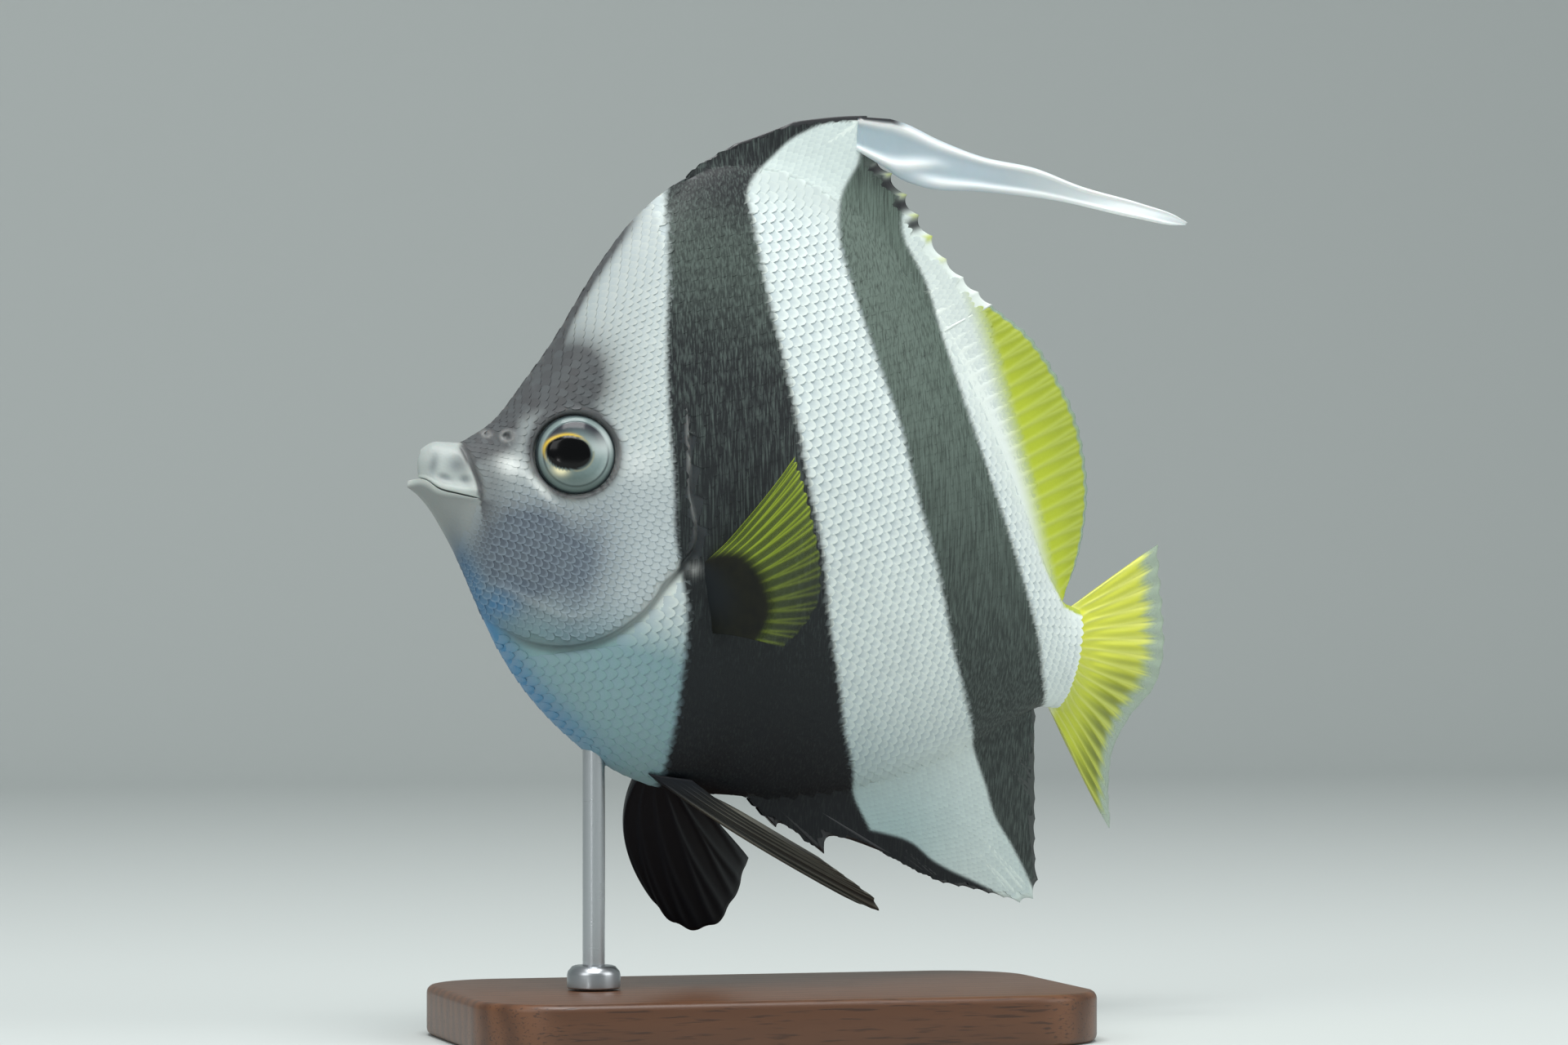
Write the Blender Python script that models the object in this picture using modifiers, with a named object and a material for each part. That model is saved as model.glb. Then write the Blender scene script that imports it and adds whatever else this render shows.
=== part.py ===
"""Pennant coralfish, a life-size still model held on a rod over a flat display base.

Metres, +Z up. The origin is the centre of the base's underside, and the head points along -X.
The fish is drawn level and straight in millimetres: s runs from the snout to the tail, h up from the
line through mouth and tail root, and y to its right. posed() bends, tilts and lifts it into place.
"""

import math

import bmesh
import bpy
import numpy as np
from mathutils import Matrix, Vector

MM = 0.001

# Pose: the body curves to its right behind the gills, and swims nose up
BEND_START = 36.5
BEND_END = 114.5
BEND_ANGLE = math.radians(25.0)
PITCH = math.radians(13.5)
PIVOT_S = 58.5
PIVOT_HEIGHT = 73.0

# Clearances
GAP = 0.3
SUNK = 2.0
MERGE = 2e-6
SLIVER = 1e-6
SHARP_ANGLE = math.radians(50.0)
TANGENT_STEP = 0.004

# Body outline: the back and belly carry the fins, so both follow the fins' bases
BACK = [(0.4, 5.8), (2.0, 7.6), (4.8, 8.5), (6.8, 9.0), (8.6, 10.7), (11.4, 14.0), (14.4, 20.6),
        (17.7, 28.8), (21.0, 39.2), (24.0, 46.8), (27.6, 52.9), (31.2, 57.1), (36.6, 60.7),
        (43.0, 62.5), (50.0, 62.5), (58.0, 60.3), (66.0, 56.2), (74.0, 50.6), (82.0, 43.6),
        (90.0, 35.8), (98.0, 27.3), (106.0, 18.3), (112.0, 11.8), (116.0, 9.0), (120.0, 8.4)]
BELLY = [(0.0, 0.2), (2.0, -0.7), (4.4, -2.4), (7.1, -5.1), (10.4, -8.8), (14.7, -14.4),
         (18.8, -19.6), (25.4, -26.0), (33.5, -31.4), (42.8, -35.2), (49.0, -36.2), (56.0, -35.8),
         (62.0, -34.8), (70.0, -33.4), (78.0, -31.0), (86.0, -27.6), (94.0, -23.3), (102.0, -18.4),
         (109.0, -13.2), (114.0, -9.8), (117.0, -8.6), (120.0, -8.2)]
WIDEST = [(0.0, 3.0), (6.8, 3.2), (15.0, 6.0), (23.0, 9.5), (31.0, 8.0), (45.0, 3.0), (60.0, 5.0),
          (80.0, 5.0), (100.0, 2.0), (120.0, 0.0)]
HALF_WIDTH = [(0.0, 1.9), (1.2, 2.5), (3.0, 3.1), (6.0, 3.8), (10.0, 4.8), (15.0, 6.5), (20.0, 7.9),
              (25.0, 8.9), (30.0, 9.7), (36.0, 10.3), (45.0, 10.8), (55.0, 10.6), (65.0, 9.8),
              (75.0, 8.6), (85.0, 7.2), (95.0, 5.8), (105.0, 4.5), (112.0, 3.7), (120.0, 3.0)]
# How quickly the flank closes towards back and belly: 0.5 is a full round, 1 is a sharp lens
BACK_LENS = [(0.0, 0.5), (12.0, 0.5), (22.0, 0.62), (34.0, 0.85), (60.0, 0.95), (105.0, 0.8), (120.0, 0.5)]
BELLY_LENS = [(0.0, 0.5), (40.0, 0.5), (54.0, 0.58), (68.0, 0.85), (105.0, 0.8), (120.0, 0.5)]
# Half thickness left along the edges that carry the back and anal fins
FIN_EDGE = 1.0
BACK_EDGE = [(0.0, 0.0), (29.0, 0.0), (33.0, 1.0), (114.0, 1.0), (117.0, 0.0), (120.0, 0.0)]
BELLY_EDGE = [(0.0, 0.0), (59.0, 0.0), (63.0, 1.0), (113.0, 1.0), (117.0, 0.0), (120.0, 0.0)]

# Where the body is parted: jaws, gill opening, tail root
JAW_REAR = [(6.8, 8.9), (9.0, 5.4), (10.9, 1.8), (10.3, -2.6), (9.4, -6.6)]
GILL_EDGE = [(27.5, 50.6), (33.0, 38.0), (37.6, 25.0), (40.2, 15.5), (43.4, 8.0), (45.0, 2.0),
             (44.6, -2.2), (42.3, -6.4), (39.2, -10.8), (35.8, -14.2), (30.0, -17.6), (23.2, -18.6),
             (16.4, -15.0)]
TAIL_ROOT_START = 106.0
TAIL_ROOT_END = 119.4
TRUNK_COLUMNS = 19
TAIL_ROOT_COLUMNS = 6
TAIL_ROOT_ROWS = 11
TAIL_ROOT_EDGE = 0.35

# Jaws: the mouth splits their shared rear edge, and they round off bluntly at the snout
MOUTH_LINE = [(0.0, 1.2), (1.6, 2.0), (4.6, 1.3), (7.7, 1.5), (10.9, 1.8)]
MOUTH_SPLIT = 0.52
UPPER_JAW_TIP = 0.9
UPPER_LIP_START = 1.5
UPPER_LIP_FRONT = (0.8, 4.6)
LOWER_JAW_TIP = 0.1
CHIN_START = 0.2
JAW_COLUMNS = [0.0, 0.03, 0.09, 0.18, 0.3, 0.45, 0.62, 0.8, 1.0]
JAW_ROWS = 9
SNOUT_BLUNT = 0.18
SNOUT_ROUND = 0.3
LIP_SWELL = 0.6
LIP_REACH = 1.0

# Gill cover: a plate let into the head, its rear edge standing free
COVER_FRONT = 0.7
COVER_TOP = 0.355
COVER_BOTTOM = 0.92
COVER_WALL = 0.006
COVER_CLEAR = 0.005
COVER_THICKNESS = 0.9
COVER_LIFT = 0.5
ROWS_ABOVE_COVER = 8
COVER_ROWS = 12
ROWS_BELOW_COVER = 5
HEAD_COLUMNS = 13
COVER_COLUMNS = 5
COVER_COLUMNS_START = 0.08

# Eyes and nostrils, placed by s and h on the flank
EYE = (23.2, 10.9)
EYE_RADIUS = 6.3
EYE_DEPTH = 3.2
EYE_SUNK = 1.4
RIM_RADIUS = 6.85
RIM_THICKNESS = 0.5
RIM_SUNK = 0.15
RIM_SIDES = (24, 5)
NOSTRILS = [(13.4, 11.0, 0.75), (15.3, 11.9, 0.55)]
NOSTRIL_RIM = 0.28
NOSTRIL_SIDES = (8, 4)
NOSTRIL_WALL = 0.22
NOSTRIL_DEPTH = 0.9

# Fins. A spine is (where it leaves the body, its tip's s, its tip's h)
DORSAL_SPINES = [(31.2, 34.7, 61.5), (34.6, 38.8, 65.4), (39.6, 47.3, 71.2), (46.0, 59.0, 75.7),
                 (52.0, 65.5, 67.6), (57.0, 68.9, 65.0), (62.0, 71.8, 62.4), (66.5, 75.0, 59.8),
                 (70.5, 78.4, 56.9), (74.0, 82.2, 54.9), (77.0, 85.6, 53.3), (79.6, 88.8, 52.0)]
SPINE_ROWS = 6
PENNANT_SPINE = 3
PENNANT_FOOT = (62.3, 69.0)
DORSAL_NOTCH = [0.03, 0.03, 0.02, 0.0, 0.09, 0.09, 0.09, 0.08, 0.06, 0.05, 0.04]
SOFT_DORSAL_BASE = (79.95, 115.4)
SOFT_DORSAL_EDGE = [(89.0, 51.6), (97.1, 49.0), (105.9, 43.0), (112.9, 35.2), (116.4, 27.7),
                    (117.8, 19.8), (117.2, 13.4), (116.2, 10.2)]
SOFT_DORSAL_RAYS = 23
SOFT_WEB_NOTCH = 0.02
SOFT_ROWS = 5
ANAL_SPINES = [(63.4, 71.5, -38.0), (66.5, 81.1, -40.3), (70.5, 95.0, -38.2)]
ANAL_BASE = (72.8, 114.0)
ANAL_EDGE = [(98.5, -39.0), (104.0, -40.3), (112.0, -40.2), (119.5, -40.3), (124.6, -39.9), (125.2, -38.2),
             (123.2, -32.0), (121.2, -26.0), (119.0, -19.6), (117.2, -13.6), (116.2, -10.6)]
ANAL_RAYS = 18
ANAL_SPINE_NOTCH = 0.25
TAIL_EDGE = [(134.8, 22.6, 0.0), (136.6, 18.2, 0.0), (139.8, 11.0, 0.0), (141.8, 5.0, 0.0),
             (142.2, 0.0, 0.8), (141.2, -6.0, 4.0), (140.0, -12.0, 5.0), (138.9, -18.0, 3.0),
             (138.2, -25.0, -0.4)]
TAIL_RAYS = 17
TAIL_INSET = 0.3
PAIRED_ROWS = 7
PENNANT_TOP = [(59.4, 75.7), (66.1, 75.9), (72.4, 75.0), (80.3, 74.4), (90.5, 75.2), (100.0, 74.9),
               (114.4, 75.5), (122.2, 75.4), (124.4, 75.0)]
PENNANT_BOTTOM = [(62.7, 69.0), (66.6, 67.3), (71.4, 66.9), (81.8, 68.9), (95.9, 71.3),
                  (113.4, 72.8), (122.4, 74.0), (124.4, 74.6)]
PENNANT_COLUMNS = 20
PENNANT_HALF = [0.5, 0.75, 0.55, 0.6, 0.45]
PENNANT_TAPER = 0.35
PECTORAL_ROOT = [(47.6, -0.8), (49.4, -5.0), (50.6, -10.4)]
PECTORAL_EDGE = [(52.6, 18.0, 21.0), (55.2, 11.5, 23.5), (57.8, 4.0, 24.5), (59.6, -3.5, 24.5),
                 (59.4, -10.0, 23.0), (57.0, -15.0, 20.0)]
PECTORAL_RAYS = 15
PECTORAL_ROOT_HALF = 1.7
PECTORAL_FLARE = 1.6
PELVIC_ROOT = [(47.4, -34.6, 2.6), (54.0, -34.4, 3.4)]
SPREAD_PELVIC_EDGE = [(58.5, -53.4, 13.5), (63.0, -56.0, 15.0), (68.5, -57.0, 16.0),
                      (73.4, -55.2, 16.5), (76.2, -50.0, 17.0), (77.0, -43.5, 17.0)]
SPREAD_PELVIC_BOW = (-3.6, -0.6, 0.4)
FOLDED_PELVIC_EDGE = [(84.0, -46.8, 8.4), (88.0, -47.0, 8.8), (87.0, -46.0, 9.4), (84.0, -44.7, 9.8),
                      (80.0, -43.2, 10.0), (76.0, -41.8, 10.2)]
FOLDED_PELVIC_BOW = (0.0, -0.8, 0.0)
PELVIC_RAYS = 6
PELVIC_ROOT_HALF = 1.1
PELVIC_WEB_NOTCH = 0.015
WEB_HALF = 0.27
RAY_RIDGE = 0.2
WEB_NOTCH = 0.03
FIN_ROOT_MIN = 0.4

# Stand
BASE_SIZE = (100.0, 60.0, 8.0)
BASE_CORNER = 14.0
BASE_BEVEL = 1.2
ROD_S = 39.0
ROD_RADIUS = 1.75
COLLAR_RADIUS = 4.2
COLLAR_HEIGHT = 3.6
COLLAR_SHOULDER = (1.2, 0.4, 0.5, 1.4)
ROD_SIDES = 24
COLLAR_SIDES = 28
CORNER_STEPS = 6

FINISHES = {
    "silver_skin": ((0.72, 0.77, 0.76), 0.35, 0.0),
    "banded_skin": ((0.42, 0.46, 0.46), 0.4, 0.0),
    "silver_eye": ((0.25, 0.27, 0.27), 0.1, 0.0),
    "yellow_fin": ((0.62, 0.68, 0.08), 0.4, 0.0),
    "black_fin": ((0.02, 0.022, 0.026), 0.45, 0.0),
    "white_fin": ((0.85, 0.88, 0.88), 0.35, 0.0),
    "walnut": ((0.16, 0.085, 0.045), 0.4, 0.0),
    "steel": ((0.55, 0.56, 0.57), 0.3, 1.0),
}


def smooth(points):
    """A smooth line through (x, y) points, as a function of x: cubic pieces that share their slopes."""
    x, y = np.array(points, float).T
    slope = np.gradient(y, x)

    def value(at):
        at = np.clip(at, x[0], x[-1])
        i = np.clip(np.searchsorted(x, at) - 1, 0, len(x) - 2)
        step = x[i + 1] - x[i]
        f = (at - x[i]) / step
        near = (2 * f**3 - 3 * f**2 + 1) * y[i] + (f**3 - 2 * f**2 + f) * step * slope[i]
        return near + (3 * f**2 - 2 * f**3) * y[i + 1] + (f**3 - f**2) * step * slope[i + 1]

    return value


def through(points):
    """A smooth curve through points, as a function of the share of its length from 0 to 1."""
    points = np.array(points, float)
    run = np.concatenate([[0.0], np.cumsum(np.linalg.norm(np.diff(points, axis=0), axis=1))])
    parts = [smooth(np.column_stack([run / run[-1], column])) for column in points.T]
    return lambda f: np.stack([part(np.asarray(f, float)) for part in parts], axis=-1)


def along(outline, start, end):
    """The stretch of an outline h(s) between two values of s, as a function of the share of its length."""
    s = np.linspace(start, end, 120)
    points = np.column_stack([s, outline(s)])
    run = np.concatenate([[0.0], np.cumsum(np.linalg.norm(np.diff(points, axis=0), axis=1))])
    return lambda f: np.stack([np.interp(f, run / run[-1], column) for column in points.T], axis=-1)


def beside(curve, distance):
    """A plane curve moved sideways, to the left of its own direction if the distance is positive."""
    def moved(f):
        f = np.asarray(f, float)
        run = curve(np.minimum(f + TANGENT_STEP, 1.0)) - curve(np.maximum(f - TANGENT_STEP, 0.0))
        run = run / np.linalg.norm(run, axis=-1, keepdims=True)
        return curve(f) + distance * np.stack([-run[..., 1], run[..., 0]], axis=-1)

    return moved


back = smooth(BACK)
belly = smooth(BELLY)
widest = smooth(WIDEST)
full_width = smooth(HALF_WIDTH)
mouth = smooth(MOUTH_LINE)


def across_body(points):
    """A smooth curve down the flank whose two ends lie on the back and the belly."""
    first, last = points[0][0], points[-1][0]
    return through([(first, float(back(first))), *points[1:-1], (last, float(belly(last)))])


def half_width(s, h, swell=0.0):
    """Half the body's thickness at (s, h): widest along one line, closing to the edges like a lens."""
    middle = widest(s)
    above = h > middle
    edge_line = np.where(above, back(s) + swell, belly(s) - swell)
    v = np.clip((h - middle) / (edge_line - middle), 0.0, 1.0)
    lens = np.where(above, np.interp(s, *zip(*BACK_LENS)), np.interp(s, *zip(*BELLY_LENS)))
    edge = np.where(above, np.interp(s, *zip(*BACK_EDGE)), np.interp(s, *zip(*BELLY_EDGE))) * FIN_EDGE
    return swell + edge + (full_width(s) - edge) * (1 - v**2) ** lens


def posed(points):
    """Fish millimetres (s, h, y) to metres in the world: bent about h, tilted nose up, then lifted."""
    s, h, y = np.moveaxis(np.asarray(points, float), -1, 0)
    length = BEND_END - BEND_START
    turn = BEND_ANGLE * np.clip((s - BEND_START) / length, 0.0, 1.0)
    radius = length / BEND_ANGLE
    past = np.maximum(s - BEND_END, 0.0)
    x = np.minimum(s, BEND_START) + radius * np.sin(turn) + past * np.cos(turn) - y * np.sin(turn)
    side = radius * (1 - np.cos(turn)) + past * np.sin(turn) + y * np.cos(turn)
    x = x - PIVOT_S
    world_x = x * math.cos(PITCH) + h * math.sin(PITCH)
    world_z = h * math.cos(PITCH) - x * math.sin(PITCH) + PIVOT_HEIGHT
    return np.stack([world_x, side, world_z], axis=-1) * MM


def finish(obj, name):
    """Gives an object its own material, made from the named finish."""
    colour, roughness, metallic = FINISHES[name]
    material = bpy.data.materials.get(name) or bpy.data.materials.new(name)
    material.use_nodes = True
    shader = material.node_tree.nodes["Principled BSDF"]
    shader.inputs["Base Color"].default_value = (*colour, 1.0)
    shader.inputs["Roughness"].default_value = roughness
    shader.inputs["Metallic"].default_value = metallic
    obj.data.materials.clear()
    obj.data.materials.append(material)
    return obj


def tidy(mesh):
    """Joins coincident points, drops faces that have no area, and points every face outwards."""
    work = bmesh.new()
    work.from_mesh(mesh)
    bmesh.ops.remove_doubles(work, verts=work.verts, dist=MERGE)
    bmesh.ops.dissolve_degenerate(work, edges=work.edges, dist=SLIVER)
    bmesh.ops.triangulate(work, faces=[f for f in work.faces if len(f.verts) > 3])
    bmesh.ops.recalc_face_normals(work, faces=work.faces)
    work.to_mesh(mesh)
    work.free()


def put(name, mesh, collection, material="silver_skin"):
    """Places a mesh in the collection as one smooth-shaded object."""
    obj = bpy.data.objects.new(name, mesh)
    collection.objects.link(obj)
    mesh.shade_smooth()
    mesh.set_sharp_from_angle(angle=SHARP_ANGLE)
    return finish(obj, material)


def loft(name, near, far, collection, material, pose=posed):
    """A closed body between two like grids of points, split into triangles alike on both faces."""
    columns, rows = near.shape[:2]
    points = pose(np.concatenate([near.reshape(-1, 3), far.reshape(-1, 3)]))
    index = np.arange(columns * rows).reshape(columns, rows)
    a, b = index[:-1, :-1].ravel(), index[1:, :-1].ravel()
    c, d = index[1:, 1:].ravel(), index[:-1, 1:].ravel()
    face = np.concatenate([np.column_stack([a, b, c]), np.column_stack([a, c, d])])
    rim = np.concatenate([index[:-1, 0], index[-1, :-1], index[:0:-1, -1], index[0, :0:-1]])
    after = np.roll(rim, -1)
    other = columns * rows
    wall = np.concatenate([np.column_stack([rim, rim + other, after + other]),
                           np.column_stack([rim, after + other, after])])
    mesh = bpy.data.meshes.new(name)
    mesh.from_pydata(points.tolist(), [], np.concatenate([face, face[:, ::-1] + other, wall]).tolist())
    tidy(mesh)
    return put(name, mesh, collection, material)


def patch(top, bottom, front, rear, a, v):
    """Points inside four boundary curves: a runs from front to rear, v from top to bottom."""
    a, v = np.meshgrid(a, v, indexing="ij")
    a, v = a[..., None], v[..., None]
    a_line, v_line = a[..., 0], v[..., 0]
    sides = (1 - v) * top(a_line) + v * bottom(a_line) + (1 - a) * front(v_line) + a * rear(v_line)
    corners = (1 - a) * ((1 - v) * top(0.0) + v * bottom(0.0)) + a * ((1 - v) * top(1.0) + v * bottom(1.0))
    return sides - corners


def both_sides(plane, width):
    """The near and far faces of a body that is the same on its left and right."""
    left = np.concatenate([plane, -width[..., None]], axis=-1)
    right = np.concatenate([plane, width[..., None]], axis=-1)
    return left, right


def rounded(count):
    """Shares from 0 to 1, set closer at both ends, where a section rounds over."""
    return 0.5 - 0.5 * np.cos(np.pi * np.linspace(0.0, 1.0, count))


def boolean(obj, tools, operation):
    """Joins or cuts obj with closed objects in one step, applies it, and removes them."""
    group = bpy.data.collections.new("tools")
    bpy.context.scene.collection.children.link(group)
    for tool in tools:
        for home in list(tool.users_collection):
            home.objects.unlink(tool)
        group.objects.link(tool)
    modifier = obj.modifiers.new(operation.lower(), "BOOLEAN")
    modifier.operation = operation
    modifier.solver = "EXACT"
    modifier.operand_type = "COLLECTION"
    modifier.collection = group
    evaluated = obj.evaluated_get(bpy.context.evaluated_depsgraph_get())
    mesh = bpy.data.meshes.new_from_object(evaluated)
    obj.modifiers.clear()
    obj.data = mesh
    for tool in list(group.objects):
        bpy.data.objects.remove(tool)
    bpy.data.collections.remove(group)
    keep_largest(obj)


def keep_largest(obj):
    """Keeps the closed surface that holds most, and drops what a cut left loose."""
    work = bmesh.new()
    work.from_mesh(obj.data)
    bmesh.ops.remove_doubles(work, verts=work.verts, dist=MERGE)
    bmesh.ops.dissolve_degenerate(work, edges=work.edges, dist=SLIVER)
    bmesh.ops.triangulate(work, faces=work.faces)
    left, shells = set(work.faces), []
    while left:
        shell, edge = set(), [left.pop()]
        while edge:
            face = edge.pop()
            shell.add(face)
            beyond = {f for e in face.edges for f in e.link_faces} & left
            left -= beyond
            edge.extend(beyond)
        shells.append(shell)

    def volume(shell):
        corners = [[v.co for v in face.verts] for face in shell]
        return sum(a.dot(b.cross(c)) for a, b, c in corners) / 6

    largest = max(shells, key=volume)
    bmesh.ops.delete(work, geom=[f for f in work.faces if f not in largest], context="FACES")
    work.to_mesh(obj.data)
    work.free()


def flank_frame(s, h, side, depth=0.0):
    """A frame on the flank: local X tailwards, Y up, Z out of the body, sunk by depth. Metres."""
    def at(s, h):
        width = half_width(np.float64(s), np.float64(h))
        return Vector(posed([s, h, side * width]))

    step = 0.5
    tailwards = (at(s + step, h) - at(s - step, h)).normalized()
    upwards = (at(s, h + step) - at(s, h - step)).normalized()
    out = tailwards.cross(upwards).normalized() * -side
    if out.y * side < 0:
        out = -out
    upwards = out.cross(tailwards)
    frame = Matrix((tailwards, upwards, out)).transposed().to_4x4()
    frame.translation = at(s, h) - out * depth * MM
    return frame


def ball(name, frame, radii, collection, segments=24, rings=12):
    """An ellipsoid in a frame, with its poles along the frame's Z."""
    work = bmesh.new()
    size = Matrix.Diagonal((*[r * MM for r in radii], 1.0))
    bmesh.ops.create_uvsphere(work, u_segments=segments, v_segments=rings, radius=1.0, matrix=frame @ size)
    mesh = bpy.data.meshes.new(name)
    work.to_mesh(mesh)
    work.free()
    tidy(mesh)
    return put(name, mesh, collection)


def ring(frame, radius, thickness, around, across):
    """A torus lying in a frame's XY plane."""
    bpy.ops.mesh.primitive_torus_add(major_radius=radius * MM, minor_radius=thickness * MM,
                                     major_segments=around, minor_segments=across)
    torus = bpy.context.object
    torus.data.transform(frame)
    tidy(torus.data)
    return torus


def hole(frame, radius, depth):
    """A cutter for a small round hole, centred on the frame and run along its Z."""
    bpy.ops.mesh.primitive_cylinder_add(vertices=NOSTRIL_SIDES[0], radius=radius * MM, depth=2 * depth * MM)
    cylinder = bpy.context.object
    cylinder.data.transform(frame)
    tidy(cylinder.data)
    return cylinder


def flank_rows():
    """Rows from back to belly, the same for head, gill covers and trunk, so that their edges match.

    A doubled row walls the recess of the gill cover above and below.
    """
    upper = COVER_TOP * (1 - np.cos(0.5 * np.pi * np.linspace(0.0, 1.0, ROWS_ABOVE_COVER)))
    middle = np.linspace(COVER_TOP + COVER_WALL, COVER_BOTTOM - COVER_WALL, COVER_ROWS)
    lower = 1 - (1 - COVER_BOTTOM) * (1 - np.sin(0.5 * np.pi * np.linspace(0.0, 1.0, ROWS_BELOW_COVER)))
    return np.concatenate([upper, middle, lower])


def head_columns():
    """Columns from jaws to gill opening, doubled at the front wall of the recess."""
    plain = np.linspace(0.0, COVER_FRONT, HEAD_COLUMNS)
    covered = np.linspace(COVER_FRONT + COVER_COLUMNS_START, 1.0, COVER_COLUMNS)
    return np.concatenate([plain, [COVER_FRONT + COVER_WALL], covered])


def head_plane(a, v):
    """The head in side view, from the jaws to the gill opening."""
    front, rear = across_body(JAW_REAR), across_body(GILL_EDGE)
    top = along(back, JAW_REAR[0][0], GILL_EDGE[0][0])
    bottom = along(belly, JAW_REAR[-1][0], GILL_EDGE[-1][0])
    return patch(top, bottom, front, rear, a, v)


def make_head(collection):
    """The head, with a recess each side for the gill cover, raised eye rims, sockets and nostrils."""
    a, v = head_columns(), flank_rows()
    plane = head_plane(a, v)
    width = half_width(plane[..., 0], plane[..., 1])
    width[:, [0, -1]] = 0.0
    covered = (a[:, None] > COVER_FRONT) & (v > COVER_TOP) & (v < COVER_BOTTOM)
    width = np.where(covered, width - COVER_THICKNESS - GAP, width)
    head = loft("head", *both_sides(plane, width), collection, "silver_skin")
    rims, sockets = [], []
    for side in (-1, 1):
        rims.append(ring(flank_frame(*EYE, side, RIM_SUNK), RIM_RADIUS, RIM_THICKNESS, *RIM_SIDES))
        socket_size = (EYE_RADIUS + GAP, EYE_RADIUS + GAP, EYE_DEPTH + GAP)
        sockets.append(ball("socket", flank_frame(*EYE, side, EYE_SUNK), socket_size, collection))
        for s, h, radius in NOSTRILS:
            frame = flank_frame(s, h, side)
            rims.append(ring(frame, radius, NOSTRIL_RIM, *NOSTRIL_SIDES))
            sockets.append(hole(frame, radius - NOSTRIL_WALL, NOSTRIL_DEPTH))
    boolean(head, rims, "UNION")
    boolean(head, sockets, "DIFFERENCE")


def make_gill_cover(name, side, collection):
    """One gill cover: a curved plate over the recess, lifting towards its free rear edge."""
    a, v = head_columns(), flank_rows()
    a = a[a > COVER_FRONT].copy()
    v = v[(v > COVER_TOP) & (v < COVER_BOTTOM)].copy()
    a[0] += COVER_CLEAR
    v[[0, -1]] += COVER_CLEAR, -COVER_CLEAR
    plane = head_plane(a, v)
    width = half_width(plane[..., 0], plane[..., 1])
    lift = COVER_LIFT * ((a - a[0]) / (1 - a[0]))[:, None] ** 1.5 * np.sin(np.pi * (v * 0.9 + 0.05)) ** 0.5
    inner, outer = side * (width - COVER_THICKNESS), side * (width + lift)
    faces = [np.concatenate([plane, y[..., None]], axis=-1) for y in (inner, outer)]
    return loft(name, *faces, collection, "silver_skin")


def make_jaws(collection):
    """Upper and lower jaw with thickened lips, parted along the mouth."""
    a = np.array(JAW_COLUMNS)
    v = 1 - (1 - np.linspace(0.0, 1.0, JAW_ROWS)) ** 1.6
    curl = np.sqrt(1 - (1 - np.minimum(a / SNOUT_ROUND, 1.0)) ** 2)
    blunt = (SNOUT_BLUNT + (1 - SNOUT_BLUNT) * curl)[:, None]
    rear = across_body(JAW_REAR)
    corner = rear(MOUTH_SPLIT)
    half_gap = 0.5 * GAP

    top = along(back, UPPER_JAW_TIP, JAW_REAR[0][0] - GAP)
    lip_start = (UPPER_LIP_START, float(mouth(UPPER_LIP_START)) + half_gap)
    lip_end = (float(corner[0]) - GAP, float(mouth(corner[0])) + half_gap)
    lip = along(lambda s: mouth(s) + half_gap, lip_start[0], lip_end[0])
    front = through([top(0.0), UPPER_LIP_FRONT, lip_start])
    behind = through([top(1.0), rear(0.58 * MOUTH_SPLIT) - (GAP, 0.0), lip_end])
    plane = patch(top, lip, front, behind, a, v)
    above = plane[..., 1] - mouth(plane[..., 0])
    width = blunt * (half_width(plane[..., 0], plane[..., 1]) + LIP_SWELL * np.exp(-(above / LIP_REACH) ** 2))
    width[:, 0] = 0.0
    loft("upper_jaw", *both_sides(plane, width), collection, "silver_skin")

    lip_end = (float(corner[0]) - GAP, float(mouth(corner[0])) - half_gap)
    lip = along(lambda s: mouth(s) - half_gap, LOWER_JAW_TIP, lip_end[0])
    chin = along(belly, CHIN_START, JAW_REAR[-1][0] - GAP)
    front = through([lip(0.0), 0.5 * (lip(0.0) + chin(0.0)) - (LOWER_JAW_TIP, 0.0), chin(0.0)])
    behind = through([lip_end, rear(1.5 * MOUTH_SPLIT) - (GAP, 0.0), chin(1.0)])
    plane = patch(lip, chin, front, behind, a, 1 - v[::-1])
    below = mouth(plane[..., 0]) - plane[..., 1]
    width = blunt * (half_width(plane[..., 0], plane[..., 1]) + LIP_SWELL * np.exp(-(below / LIP_REACH) ** 2))
    width[:, -1] = 0.0
    loft("lower_jaw", *both_sides(plane, width), collection, "silver_skin")


def trunk_body(name, collection, swell=0.0):
    """The trunk from the gill opening to the tail root. Swell makes the cutter that fits round it.

    The gill opening, moved back by the gap, is eased at both ends to meet the back and the belly.
    """
    gill = beside(across_body(GILL_EDGE), GAP - swell)
    top_line = smooth([(s, h + swell) for s, h in BACK])
    bottom_line = smooth([(s, h - swell) for s, h in BELLY])
    tries = np.linspace(0.9, 1.0, 200)
    inside = [f for f in tries if gill(f)[1] > bottom_line(gill(f)[0])]
    meet = inside[-1]
    top = along(top_line, gill(0.0)[0], TAIL_ROOT_START + swell)
    bottom = along(bottom_line, gill(meet)[0], TAIL_ROOT_START + swell)

    def front(f):
        f = np.asarray(f, float)
        edge = gill(f - (1 - meet) * np.clip((f - 0.8) / 0.2, 0.0, 1.0) ** 2)
        edge = edge + (1 - f[..., None]) ** 6 * (top(0.0) - gill(0.0))
        return edge + f[..., None] ** 12 * (bottom(0.0) - gill(meet))

    rear = through([top(1.0), 0.5 * (top(1.0) + bottom(1.0)), bottom(1.0)])
    plane = patch(top, bottom, front, rear, np.linspace(0.0, 1.0, TRUNK_COLUMNS), flank_rows())
    width = half_width(plane[..., 0], plane[..., 1], swell)
    return loft(name, *both_sides(plane, width), collection, "banded_skin")


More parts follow.
